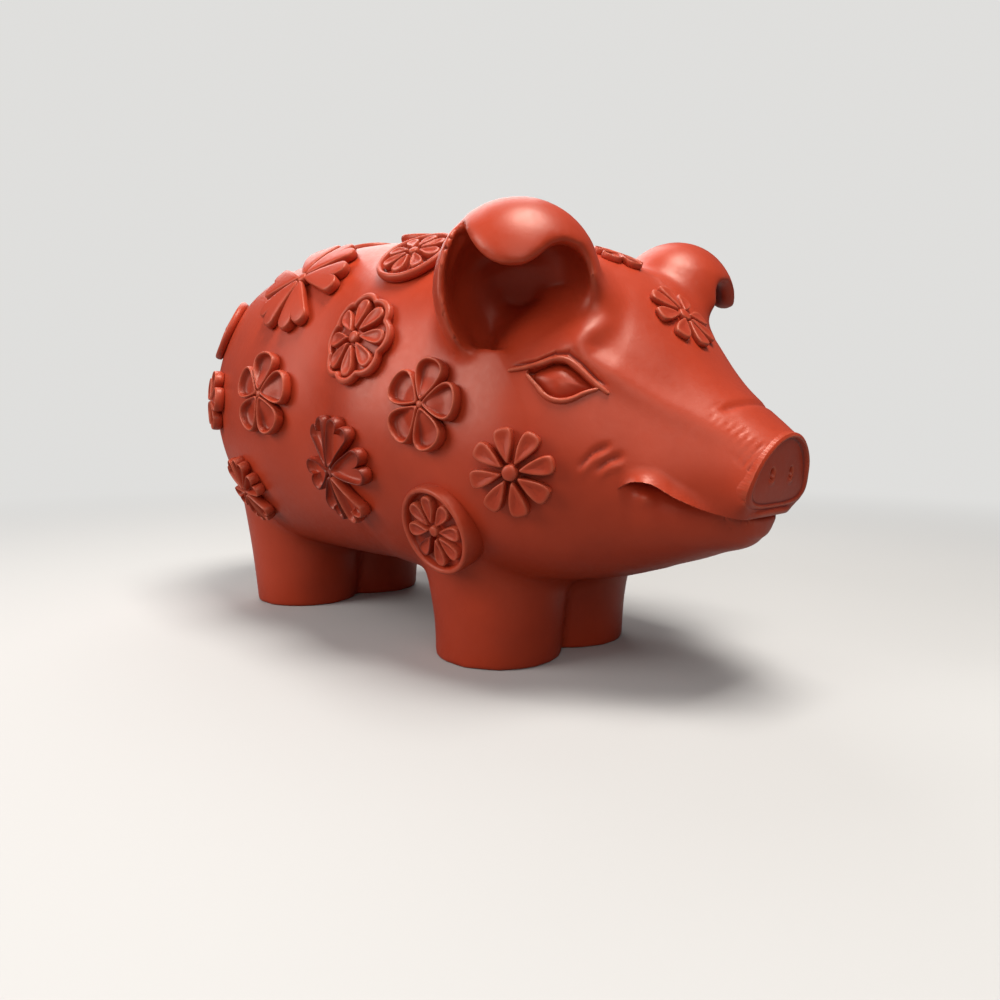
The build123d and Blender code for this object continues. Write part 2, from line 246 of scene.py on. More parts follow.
class NodeGroups:
    """The effects that all the finishes share."""

    def __init__(self) -> None:
        """Builds each group once."""
        self.tone = self._tone()
        self.surface = self._surface()

    @staticmethod
    def _group(name: str, inputs: dict[str, tuple[str, object]],
               outputs: dict[str, str]) -> bpy.types.NodeTree:
        """Returns an empty group with these sockets.

        Args:
            name: The group's name.
            inputs: For each input, its socket type and first value.
            outputs: For each output, its socket type.

        Returns:
            The group.
        """
        tree = bpy.data.node_groups.new(name, "ShaderNodeTree")
        for label, (kind, value) in inputs.items():
            socket = tree.interface.new_socket(label, in_out="INPUT", socket_type=kind)
            socket.default_value = value
        for label, kind in outputs.items():
            tree.interface.new_socket(label, in_out="OUTPUT", socket_type=kind)
        return tree

    def _tone(self) -> bpy.types.NodeTree:
        """Builds the group that colours the resin: mottled at random, with painted shade in creases and with
        edges paler, partly from wear and partly as a painted highlight.

        Returns:
            The group.
        """
        colour = ("NodeSocketColor", (1, 1, 1, 1))
        tree = self._group(
            "cinnabar tone",
            {
                "Body": colour,
                "Deep": colour,
                "Worn and lit": colour,
                "Wear and highlight": ("NodeSocketFloat", 0.5),
                "Roughness": ("NodeSocketFloat", 0.45),
            },
            {"Color": "NodeSocketColor", "Roughness": "NodeSocketFloat"},
        )
        nodes, links = tree.nodes, tree.links
        given = nodes.new("NodeGroupInput")
        result = nodes.new("NodeGroupOutput")
        place = nodes.new("ShaderNodeTexCoord")
        clouds = nodes.new("ShaderNodeTexNoise")
        clouds.inputs["Scale"].default_value = 60
        clouds.inputs["Detail"].default_value = 4
        grains = nodes.new("ShaderNodeTexNoise")
        grains.inputs["Scale"].default_value = 900
        grains.inputs["Detail"].default_value = 3
        for texture in (clouds, grains):
            links.new(place.outputs["Object"], texture.inputs["Vector"])
        relief = nodes.new("ShaderNodeAttribute")
        relief.attribute_name = RELIEF
        mottle = self._range(tree, clouds.outputs["Fac"], (0.3, 0.7), (0.0, 0.30))
        # Painted shade: creases are darkened towards the deep red, as shade falls in them.
        crease = self._range(tree, relief.outputs["Fac"], (-0.03, -0.45), (0.0, 0.85))
        # Edges are lightened towards the worn red: partly wear, partly a painted highlight where light
        # catches them.
        edge = self._range(tree, relief.outputs["Fac"], (0.10, 0.60), (0.0, 1.0))
        patchy = self._range(tree, grains.outputs["Fac"], (0.30, 0.62), (0.45, 1.0))
        lit_worn_edges = self._times(tree, edge, patchy)
        worn_and_lit = self._times(tree, lit_worn_edges, given.outputs["Wear and highlight"])
        mixed = self._mix(tree, mottle, given.outputs["Body"], given.outputs["Deep"])
        creased = self._mix(tree, crease, mixed, given.outputs["Deep"])
        dressed = self._mix(tree, worn_and_lit, creased, given.outputs["Worn and lit"])
        links.new(dressed, result.inputs["Color"])
        spread = self._range(tree, grains.outputs["Fac"], (0.2, 0.8), (-0.06, 0.06))
        total = nodes.new("ShaderNodeMath")
        total.operation = "ADD"
        links.new(given.outputs["Roughness"], total.inputs[0])
        links.new(spread, total.inputs[1])
        links.new(total.outputs[0], result.inputs["Roughness"])
        return tree

    def _surface(self) -> bpy.types.NodeTree:
        """Builds the group for the skin's height: soft tool waves and a fine grain.

        Returns:
            The group.
        """
        tree = self._group(
            "hand finished surface",
            {"Waves": ("NodeSocketFloat", 0.6), "Grain": ("NodeSocketFloat", 0.15)},
            {"Height": "NodeSocketFloat"},
        )
        nodes, links = tree.nodes, tree.links
        given = nodes.new("NodeGroupInput")
        result = nodes.new("NodeGroupOutput")
        place = nodes.new("ShaderNodeTexCoord")
        waves = nodes.new("ShaderNodeTexNoise")
        waves.inputs["Scale"].default_value = 190
        waves.inputs["Detail"].default_value = 2
        grain = nodes.new("ShaderNodeTexNoise")
        grain.inputs["Scale"].default_value = 1900
        grain.inputs["Detail"].default_value = 3
        for texture in (waves, grain):
            links.new(place.outputs["Object"], texture.inputs["Vector"])
        soft = self._times(tree, waves.outputs["Fac"], given.outputs["Waves"])
        fine = self._times(tree, grain.outputs["Fac"], given.outputs["Grain"])
        total = nodes.new("ShaderNodeMath")
        total.operation = "ADD"
        links.new(soft, total.inputs[0])
        links.new(fine, total.inputs[1])
        links.new(total.outputs[0], result.inputs["Height"])
        return tree

    @staticmethod
    def _range(tree: bpy.types.NodeTree, value: bpy.types.NodeSocket, start: tuple[float, float],
               end: tuple[float, float]) -> bpy.types.NodeSocket:
        """Carries a value from one range to another, kept inside it.

        Args:
            tree: The group that it is in.
            value: The value's socket.
            start: The range that the value has.
            end: The range that it gets.

        Returns:
            The new value's socket.
        """
        node = tree.nodes.new("ShaderNodeMapRange")
        node.inputs["From Min"].default_value, node.inputs["From Max"].default_value = start
        node.inputs["To Min"].default_value, node.inputs["To Max"].default_value = end
        tree.links.new(value, node.inputs["Value"])
        return node.outputs["Result"]

    @staticmethod
    def _times(tree: bpy.types.NodeTree, one: bpy.types.NodeSocket,
               two: bpy.types.NodeSocket) -> bpy.types.NodeSocket:
        """Multiplies two values.

        Args:
            tree: The group that they are in.
            one: The first value's socket.
            two: The second value's socket.

        Returns:
            The product's socket.
        """
        node = tree.nodes.new("ShaderNodeMath")
        node.operation = "MULTIPLY"
        tree.links.new(one, node.inputs[0])
        tree.links.new(two, node.inputs[1])
        return node.outputs[0]

    @staticmethod
    def _mix(tree: bpy.types.NodeTree, share: bpy.types.NodeSocket, one: bpy.types.NodeSocket,
             two: bpy.types.NodeSocket) -> bpy.types.NodeSocket:
        """Turns one colour into another.

        Args:
            tree: The group that they are in.
            share: How much of the second colour there is.
            one: The first colour's socket.
            two: The second colour's socket.

        Returns:
            The mixed colour's socket.
        """
        node = tree.nodes.new("ShaderNodeMix")
        node.data_type = "RGBA"
        tree.links.new(share, node.inputs[0])
        tree.links.new(one, node.inputs[6])
        tree.links.new(two, node.inputs[7])
        return node.outputs[2]


@dataclass(frozen=True)
class Cinnabar:
    """A satin finish of the red resin."""

    slot: str
    body: tuple[float, float, float]
    # The deep red serves both the random mottle and the painted shade in creases.
    deep: tuple[float, float, float]
    # The worn red and its amount serve both edge wear and a painted highlight on edges.
    worn_and_lit: tuple[float, float, float]
    wear_and_highlight: float
    roughness: float
    waves: float

    def material(self, groups: NodeGroups) -> bpy.types.Material:
        """Returns the finish as a material.

        Args:
            groups: The shared node groups.

        Returns:
            The material.
        """
        material = bpy.data.materials.new(self.slot)
        material.use_nodes = True
        nodes, links = material.node_tree.nodes, material.node_tree.links
        shader = nodes["Principled BSDF"]
        tone = nodes.new("ShaderNodeGroup")
        tone.node_tree = groups.tone
        tone.inputs["Body"].default_value = (*self.body, 1)
        tone.inputs["Deep"].default_value = (*self.deep, 1)
        tone.inputs["Worn and lit"].default_value = (*self.worn_and_lit, 1)
        tone.inputs["Wear and highlight"].default_value = self.wear_and_highlight
        tone.inputs["Roughness"].default_value = self.roughness
        surface = nodes.new("ShaderNodeGroup")
        surface.node_tree = groups.surface
        surface.inputs["Waves"].default_value = self.waves
        bump = nodes.new("ShaderNodeBump")
        bump.inputs["Strength"].default_value = 0.35
        bump.inputs["Distance"].default_value = 0.25 * MM
        links.new(surface.outputs["Height"], bump.inputs["Height"])
        links.new(bump.outputs["Normal"], shader.inputs["Normal"])
        links.new(tone.outputs["Color"], shader.inputs["Base Color"])
        links.new(tone.outputs["Roughness"], shader.inputs["Roughness"])
        shader.inputs["Specular IOR Level"].default_value = 0.5
        shader.inputs["Specular Tint"].default_value = (1.0, 0.74, 0.62, 1)
        return material


# Pale red for raised edges: partly wear, partly a painted highlight.
WORN_AND_LIT_RED = (0.60, 0.15, 0.08)
SKIN_FINISH = Cinnabar(
    slot="cinnabar_skin",
    body=(0.46, 0.044, 0.014),
    deep=(0.19, 0.012, 0.004),
    worn_and_lit=WORN_AND_LIT_RED,
    wear_and_highlight=0.40,
    roughness=0.40,
    waves=0.6,
)
EYE_FINISH = Cinnabar(
    slot="cinnabar_eyes",
    body=(0.45, 0.042, 0.014),
    deep=(0.15, 0.009, 0.003),
    worn_and_lit=WORN_AND_LIT_RED,
    wear_and_highlight=0.55,
    roughness=0.38,
    waves=0.2,
)
SPRIG_FINISH = Cinnabar(
    slot="cinnabar_sprigs",
    body=(0.44, 0.041, 0.013),
    deep=(0.14, 0.009, 0.003),
    worn_and_lit=WORN_AND_LIT_RED,
    wear_and_highlight=0.45,
    roughness=0.42,
    waves=0.3,
)


@dataclass
class Seat:
    """A place on the skin with its own axes: along towards the head, up, and out."""

    centre: Vector
    along: Vector
    up: Vector
    out: Vector

    @classmethod
    def facing(cls, centre: Vector, out: Vector, along: Vector) -> "Seat":
        """Returns the seat whose up axis points up or, on a ridge, to the left.

        Args:
            centre: The place on the skin.
            out: The skin's direction there.
            along: About the direction that lies along the seat.

        Returns:
            The seat.
        """
        out = out.normalized()
        along = (along - out * along.dot(out)).normalized()
        up = out.cross(along)
        if up.z < -0.05:
            up.negate()
        return cls(centre, along, up, out)

    def flat(self, point: Vector) -> tuple[float, float]:
        """Returns a point's distances along and up from the centre."""
        away = point - self.centre
        return away.dot(self.along), away.dot(self.up)

    def at(self, along: float, up: float, out: float = 0.0) -> Vector:
        """Returns the point at these distances from the centre."""
        return self.centre + self.along * along + self.up * up + self.out * out


@dataclass
class Surface:
    """A skin that pieces are laid on."""

    tree: BVHTree
    reach: float = 12 * MM
    lean: float = 0.6

    def lay(self, seat: Seat, bm: bmesh.types.BMesh) -> None:
        """Bends flat work over the skin: x and y run along the seat, z is height above the skin.

        Args:
            seat: Where the work's middle goes.
            bm: The flat work, in metres.
        """
        for vert in bm.verts:
            start = seat.at(vert.co.x, vert.co.y, self.reach)
            hit, normal, _, _ = self.tree.ray_cast(start, -seat.out, 2 * self.reach)
            if hit is None:
                hit, normal, _, _ = self.tree.find_nearest(start - seat.out * self.reach)
            out = normal.lerp(seat.out, 1 - self.lean).normalized()
            vert.co = hit + out * vert.co.z
        bmesh.ops.recalc_face_normals(bm, faces=bm.faces)


def stepped(bm: bmesh.types.BMesh, outline: Outline, hub: tuple[float, float], steps: Steps) -> None:
    """Adds a closed flat form whose outline shrinks towards its hub while it rises.

    Args:
        bm: The bmesh that it goes in.
        outline: The form's points in metres.
        hub: The point that the outline shrinks to.
        steps: For each ring from the foot to the top, its share of the outline and its height.
    """
    made = bmesh.ops.create_circle(bm, cap_ends=True, segments=len(outline), radius=1.0)
    middle = Vector((hub[0], hub[1], 0))
    share, height = steps[0]
    for vert, (x, y) in zip(made["verts"], outline):
        vert.co = middle + (Vector((x, y, 0)) - middle) * share + Vector((0, 0, height))
    face = made["verts"][0].link_faces[0]
    keep_foot = True
    for next_share, next_height in steps[1:]:
        grown = bmesh.ops.extrude_face_region(bm, geom=[face], use_keep_orig=keep_foot)["geom"]
        verts = [item for item in grown if isinstance(item, bmesh.types.BMVert)]
        old = face
        face = next(item for item in grown if isinstance(item, bmesh.types.BMFace))
        if not keep_foot and old.is_valid and old is not face:
            bm.faces.remove(old)
        ratio = next_share / share
        bmesh.ops.scale(bm, vec=(ratio, ratio, 1), space=Matrix.Translation(-middle), verts=verts)
        bmesh.ops.translate(bm, vec=(0, 0, next_height - height), verts=verts)
        share, height = next_share, next_height
        keep_foot = False
    bmesh.ops.poke(bm, faces=[face])


def turned(outline: Outline, angle: float) -> list[tuple[float, float]]:
    """Returns an outline turned about the origin by an angle in degrees."""
    cos, sin = math.cos(math.radians(angle)), math.sin(math.radians(angle))
    return [(x * cos - y * sin, x * sin + y * cos) for x, y in outline]


def ring(radius: float, points: int) -> list[tuple[float, float]]:
    """Returns a round outline with that many points."""
    return [turned([(radius, 0.0)], 360 * step / points)[0] for step in range(points)]


def teardrop(start: float, end: float, width: float, points: int = 24,
             blunt: float = 1.0) -> list[tuple[float, float]]:
    """Returns a petal that is pointed at its inner end and round at its outer one.

    Args:
        start: Where it starts, from the flower's middle.
        end: Where it ends.
        width: Its greatest width.
        points: How many points its outline has.
        blunt: The power that shapes its outer end, 1 for round and less for square.

    Returns:
        The outline, along the x axis.
    """
    outline = []
    for step in range(points):
        turn = math.tau * step / points
        share = (1 - math.cos(turn)) / 2
        swing = abs(math.sin(turn)) ** (blunt if share > 0.5 else 1.0)
        across = width / 2 * math.copysign(swing, math.sin(turn)) * (0.30 + 0.95 * share) / 0.93
        outline.append((start + (end - start) * share, across))
    return outline


def heart(start: float, end: float, width: float, points: int = 12) -> list[tuple[float, float]]:
    """Returns a wedge-shaped petal that ends in two round lobes with a notch between them.

    Args:
        start: Where it starts, from the flower's middle.
        end: Where its lobes end.
        width: Its greatest width.
        points: How many points each lobe has.

    Returns:
        The outline, along the x axis.
    """
    lobe = width / 4
    side = []
    for step in range(5):
        share = step / 5
        side.append((start + (end - lobe - start) * share, width / 2 * (0.08 + 0.92 * share ** 0.85)))
    for step in range(points):
        turn = math.radians(90 - 168 * step / (points - 1))
        side.append((end - lobe + lobe * math.cos(turn), lobe + lobe * math.sin(turn)))
    mirrored = [(x, -y) for x, y in reversed(side)]
    return [*side, (end - 1.25 * lobe, 0.0), *mirrored]


@dataclass
class Sprig:
    """One flower of the hide, laid where its solid is."""

    node: str
    turn: float = 0.0
    lift: float = 1.0
    cup: float = 0.0
    foot: float = -0.5 * MM

    @property
    def form(self) -> Form:
        """The flower's kind, from its node's name."""
        return next(form for form in Form if form.value in self.node)

    def seat(self, skin: Surface) -> tuple[Seat, float]:
        """Finds the flower's place and radius from its solid.

        Args:
            skin: The finished skin.

        Returns:
            The seat on the skin and the flower's radius in metres.
        """
        low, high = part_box(self.node)
        points = [vert.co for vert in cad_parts[self.node].data.vertices]
        place, out, _, _ = skin.tree.find_nearest((low + high) / 2)
        for _ in range(3):
            seat = Seat.facing(place, out, Vector((1, 0, 0)))
            flat = np.array([seat.flat(point) for point in points])
            middle = (flat.min(0) + flat.max(0)) / 2
            start = seat.at(middle[0], middle[1], skin.reach)
            hit, normal, _, _ = skin.tree.ray_cast(start, -seat.out)
            if hit is None:
                break
            place, out = hit, normal
        radius = (flat.max(0) - flat.min(0)).mean() / 2
        return seat, radius

    def build(self, skin: Surface) -> bpy.types.Mesh:
        """Models the flower flat and lays it on the skin.

        Args:
            skin: The finished skin.

        Returns:
            The flower's mesh.
        """
        stands = self.node.startswith(STANDING)
        seat, radius = self.stand() if stands else self.seat(skin)
        bm = bmesh.new()
        makers: dict[Form, Callable[[bmesh.types.BMesh, float], None]] = {
            Form.PLUM: self._plum,
            Form.HEART: self._heart,
            Form.DAISY: self._daisy,
            Form.MEDALLION: self._medallion,
            Form.SCALLOPED: self._scalloped,
        }
        makers[self.form](bm, radius)
        turn = Matrix.Rotation(math.radians(self.turn), 3, "Z")
        bmesh.ops.rotate(bm, cent=(0, 0, 0), matrix=turn, verts=bm.verts)
        if stands:
            self._set_upright(seat, bm)
        else:
            skin.lay(seat, bm)
        return mesh_of(bm, self.node)

    def _set_upright(self, seat: Seat, bm: bmesh.types.BMesh) -> None:
        """Stands flat work upright, with its foot drawn back into the figurine.

        Args:
            seat: The middle of the face that the work has.
            bm: The flat work, in metres.
        """
        for vert in bm.verts:
            in_foot = vert.co.z <= self.foot / 2
            level = STANDING_ROOT if in_foot else vert.co.z - STANDING_SINK
            vert.co = seat.at(vert.co.x, vert.co.y, level)
        bmesh.ops.recalc_face_normals(bm, faces=bm.faces)

    def stand(self) -> tuple[Seat, float]:
        """Finds the face of a medallion that stands upright, from its solid.

        Returns:
            The middle of its face and its radius in metres.
        """
        across = -1 if self.node.endswith("right") else 1
        lean = math.radians(STANDING_LEAN)
        out = Vector((0, across * math.cos(lean), -math.sin(lean)))
        points = [vert.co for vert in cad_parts[self.node].data.vertices]
        low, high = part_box(self.node)
        front = max(point.dot(out) for point in points)
        face = [point for point in points if point.dot(out) > front - 0.05 * MM]
        seat = Seat.facing((low + high) / 2, out, Vector((1, 0, 0)))
        flat = np.array([seat.flat(point) for point in face])
        middle = (flat.min(0) + flat.max(0)) / 2
        seat.centre = seat.at(middle[0], middle[1], front - seat.centre.dot(out))
        return seat, (flat.max(0) - flat.min(0)).mean() / 2

    def _steps(self, *rings: tuple[float, float]) -> list[tuple[float, float]]:
        """Returns rings with the flower's foot below them, their heights given in millimetres."""
        foot = (rings[0][0] * 1.02, self.foot)
        return [foot] + [(share, height * self.lift * MM) for share, height in rings]

    def _button(self, bm: bmesh.types.BMesh, radius: float, top: float) -> None:
        """Adds the round boss at a flower's middle.

        Args:
            bm: The flower's bmesh.
            radius: The boss's radius in metres.
            top: Its height in millimetres.
        """
        steps = self._steps((1.0, top * 0.75), (0.90, top * 0.93), (0.70, top), (0.35, top * 1.04),
                            (0.1, top * 1.05))
        stepped(bm, ring(radius, 16), (0, 0), steps)

    def _petals(self, bm: bmesh.types.BMesh, outline: Outline, hub: float, angles: Sequence[float],
                steps: Steps) -> None:
        """Adds one petal at each angle.

        Args:
            bm: The flower's bmesh.
            outline: One petal's outline, along the x axis.
            hub: How far out the point is that the petal shrinks to.
            angles: The petals' directions in degrees.
            steps: A petal's rings.
        """
        for angle in angles:
            place = turned([(hub, 0.0)], angle)[0]
            stepped(bm, turned(outline, angle), place, steps)

    def _plum(self, bm: bmesh.types.BMesh, radius: float) -> None:
        """Adds five petals cupped like spoons, with slits between them.

        Args:
            bm: The flower's bmesh.
            radius: The flower's radius in metres.
        """
        outline = teardrop(0.06 * radius, radius, 0.84 * radius, points=32)
        low = 0.8
        steps = self._steps((1.0, 1.2), (0.97, 2.1), (0.92, 2.5), (0.85, 2.45), (0.79, 2.0), (0.73, low),
                            (0.58, low), (0.30, low), (0.08, low))
        self._petals(bm, outline, 0.60 * radius, [72 * k for k in range(5)], steps)
        for vert in bm.verts:
            if abs(vert.co.z - low * self.lift * MM) < 1e-7:
                reach = vert.co.xy.length / radius
                vert.co.z *= 1 + 1.5 * (1 - ease(0.18, 0.66, reach)) + 0.5 * ease(0.80, 0.92, reach)
        self._button(bm, 0.09 * radius, 2.3)

    def _heart(self, bm: bmesh.types.BMesh, radius: float) -> None:
        """Adds six notched petals, set a little unevenly as hand work is.

        Args:
            bm: The flower's bmesh.
            radius: The flower's radius in metres.
        """
        outline = heart(0.07 * radius, radius, 0.66 * radius)
        rim, low = 2.2 + 0.4 * self.cup, 2.3 - 1.2 * self.cup
        steps = self._steps((1.0, 1.5), (0.975, 2.0), (0.93, rim), (0.86, rim), (0.78, (rim + low) / 2),
                            (0.70, low), (0.40, low), (0.08, low))
        self._petals(bm, outline, 0.62 * radius, (0, 52, 108, 180, 234, 290), steps)
        self._button(bm, 0.10 * radius, 2.2)

    def _daisy(self, bm: bmesh.types.BMesh, radius: float) -> None:
        """Adds eight free petals with blunt ends and a button.

        Args:
            bm: The flower's bmesh.
            radius: The flower's radius in metres.
        """
        outline = teardrop(0.20 * radius, radius, 0.43 * radius, blunt=0.55)
        steps = self._steps((1.0, 1.5), (0.96, 2.0), (0.88, 2.2), (0.60, 2.1), (0.25, 1.9), (0.08, 1.9))
        self._petals(bm, outline, 0.68 * radius, [45 * k for k in range(8)], steps)
        self._button(bm, 0.19 * radius, 2.3)

    def _dish(self, bm: bmesh.types.BMesh, outline: Outline) -> None:
        """Adds a flat dish with a thick rim.

        Args:
            bm: The flower's bmesh.
            outline: The dish's outline in metres.
        """
        floor = 0.35
        steps = self._steps((1.0, 1.3), (0.985, 1.8), (0.945, 2.05), (0.885, 2.0), (0.855, 1.6),
                            (0.84, 0.55), (0.80, floor), (0.40, floor), (0.05, floor))
        stepped(bm, outline, (0, 0), steps)

    def _medallion(self, bm: bmesh.types.BMesh, radius: float) -> None:
        """Adds a round dish with eight petals and a button."""
        self._dish(bm, ring(radius, 56))
        self._inner_petals(bm, radius, 0.80)

    def _scalloped(self, bm: bmesh.types.BMesh, radius: float) -> None:
        """Adds a dish with eight lobes, each round a petal.

        Args:
            bm: The flower's bmesh.
            radius: The flower's radius in metres.
        """
        outline = []
        for step in range(96):
            turn = 360 * step / 96
            lobe = 0.88 + 0.12 * abs(math.cos(math.radians(4 * turn))) ** 0.8
            outline.append(turned([(radius * lobe, 0.0)], turn)[0])
        self._dish(bm, outline)
        self._inner_petals(bm, radius, 0.84)

    def _inner_petals(self, bm: bmesh.types.BMesh, radius: float, reach: float) -> None:
        """Adds the eight slender petals and the button inside a dish.

        Args:
            bm: The flower's bmesh.
            radius: The dish's radius in metres.
            reach: How far out the petals go, as a share of it.
        """
        outline = teardrop(0.17 * radius, reach * radius, 0.33 * radius, blunt=0.8)
        steps = self._steps((1.0, 1.4), (0.94, 1.85), (0.80, 1.9), (0.55, 1.6), (0.25, 1.5), (0.08, 1.5))
        self._petals(bm, outline, 0.55 * radius, [45 * k for k in range(8)], steps)
        self._button(bm, 0.13 * radius, 1.9)


@dataclass
class Eye:
    """An almond eye: a ball in its socket between two rolled lids."""

    side: str
    upper: Outline = (
        (-9.0, 0.0), (-4.7, 1.7), (-1.8, 3.8), (0.5, 4.2), (3.1, 3.0), (6.4, 1.0), (8.9, 0.0)
    )
    lower: Outline = (
        (-5.6, 0.1), (-3.2, -1.7), (-1.2, -3.2), (1.2, -3.4), (3.3, -2.4), (5.0, -0.7), (7.0, 0.4)
    )
    upper_roll: float = 0.62 * MM
    lower_roll: float = 0.52 * MM
    socket_depth: float = 1.9 * MM
    socket_edge: float = 0.7 * MM
    crease_depth: float = 0.45 * MM
    crease_half: float = 0.4 * MM
    crease_gap: float = 1.0 * MM
    crease_fade: float = 3 * MM
    middle: tuple[float, float, float] = (56.0, 26.3, 56.5)
    out: tuple[float, float, float] = (0.56, 0.79, 0.26)
    slant: tuple[float, float, float] = (0.827, -0.514, -0.229)
    reach: float = 14 * MM
    zone: tuple[float, float] = (11 * MM, 6.5 * MM)

    def seat(self) -> Seat:
        """Finds the eye's place.

        Returns:
            The seat, with the eye's length along its first axis.
        """
        across = -1 if self.side == "right" else 1
        mirror = Vector((1, across, 1))
        middle = Vector(self.middle) * MM * mirror
        return Seat.facing(middle, Vector(self.out) * mirror, Vector(self.slant) * mirror)

    def near(self, seat: Seat, point: Vector, share: float) -> bool:
        """Tells whether a point is near the eye.

        Args:
            seat: The eye's seat.
            point: The point.
            share: The zone's size, where 1 is all of it.

        Returns:
            Whether the point is in the zone.
        """
        if (point - seat.centre).length > self.reach:
            return False
        along, up = seat.flat(point)
        return (along / self.zone[0]) ** 2 + (up / self.zone[1]) ** 2 < share * share

    def lid_height(self, line: Outline, along: float) -> float:
        """Returns a lid's height above the eye's middle line at that distance along."""
        xs, ys = zip(*line)
        return float(np.interp(along / MM, xs, ys)) * MM

    def socket(self, along: float, up: float) -> float:
        """Works out how deep the socket is at a place in the eye's plane.

        Args:
            along: The distance along from the eye's middle.
            up: The distance above its middle line.

        Returns:
            The depth in metres.
        """
        start, end = self.lower[0][0] * MM, self.lower[-1][0] * MM
        if not start < along < end:
            return 0.0
        top, bottom = self.lid_height(self.upper, along), self.lid_height(self.lower, along)
        edge = min(top - up, up - bottom)
        if edge <= 0:
            return 0.0
        rise = (up - bottom) / max(top - bottom, 1e-6)
        return self.socket_depth * ease(0, self.socket_edge, edge) * (0.55 + 0.45 * rise)

    def crease(self, along: float, up: float) -> float:
        """Works out how deep the fold over the upper lid is at a place in the eye's plane.

        Args:
            along: The distance along from the eye's middle.
            up: The distance above its middle line.

        Returns:
            The depth in metres.
        """
        start, end = self.upper[0][0] * MM, self.upper[-1][0] * MM
        if not start < along < end:
            return 0.0
        away = up - self.lid_height(self.upper, along) - self.crease_gap
        fade = ease(start, start + self.crease_fade, along) * (1 - ease(end - self.crease_fade, end, along))
        return self.crease_depth * math.exp(-((away / self.crease_half) ** 2)) * fade

    def roll(self, line: Outline, thick: float, skin: Surface, name: str) -> bpy.types.Mesh:
        """Models a lid as a tapered roll along a line.

        Args:
            line: The lid's points in the eye's plane, in millimetres.
            thick: Half the roll's thickness at its middle.
            skin: The skin before the socket is cut.
            name: The mesh's name.

        Returns:
            The lid's mesh.
        """
        last = len(line) - 1
        points = []
        for index, (x, y) in enumerate(line):
            taper = 0.30 + 0.70 * math.sin(math.pi * (0.08 + 0.84 * index / last)) ** 0.7
            points.append((x * MM, y * MM, taper))
        bm = rolled(points, thick, resolution=8)
        for vert in bm.verts:
            vert.co.z = vert.co.z * 1.25 + 0.15 * MM
        skin.lay(self.seat(), bm)
        return mesh_of(bm, name)

    def ball(self, skin: Surface, name: str) -> bpy.types.Mesh:
        """Models the eyeball as a low dome in the socket.

        Args:
            skin: The skin before the socket is cut.
            name: The mesh's name.

        Returns:
            The ball's mesh.
        """
        bm = bmesh.new()
        round_eye = [*self.lower, *self.upper[-2:0:-1]]
        outline = [(x * MM, y * MM) for x, y in round_eye]
        dome = ((1.02, -2.4), (1.0, -1.7), (0.85, -1.15), (0.65, -0.55), (0.4, -0.1), (0.15, 0.1))
        stepped(bm, outline, (0.5 * MM, 0.2 * MM), [(share, height * MM) for share, height in dome])
        skin.lay(self.seat(), bm)
        return mesh_of(bm, name)


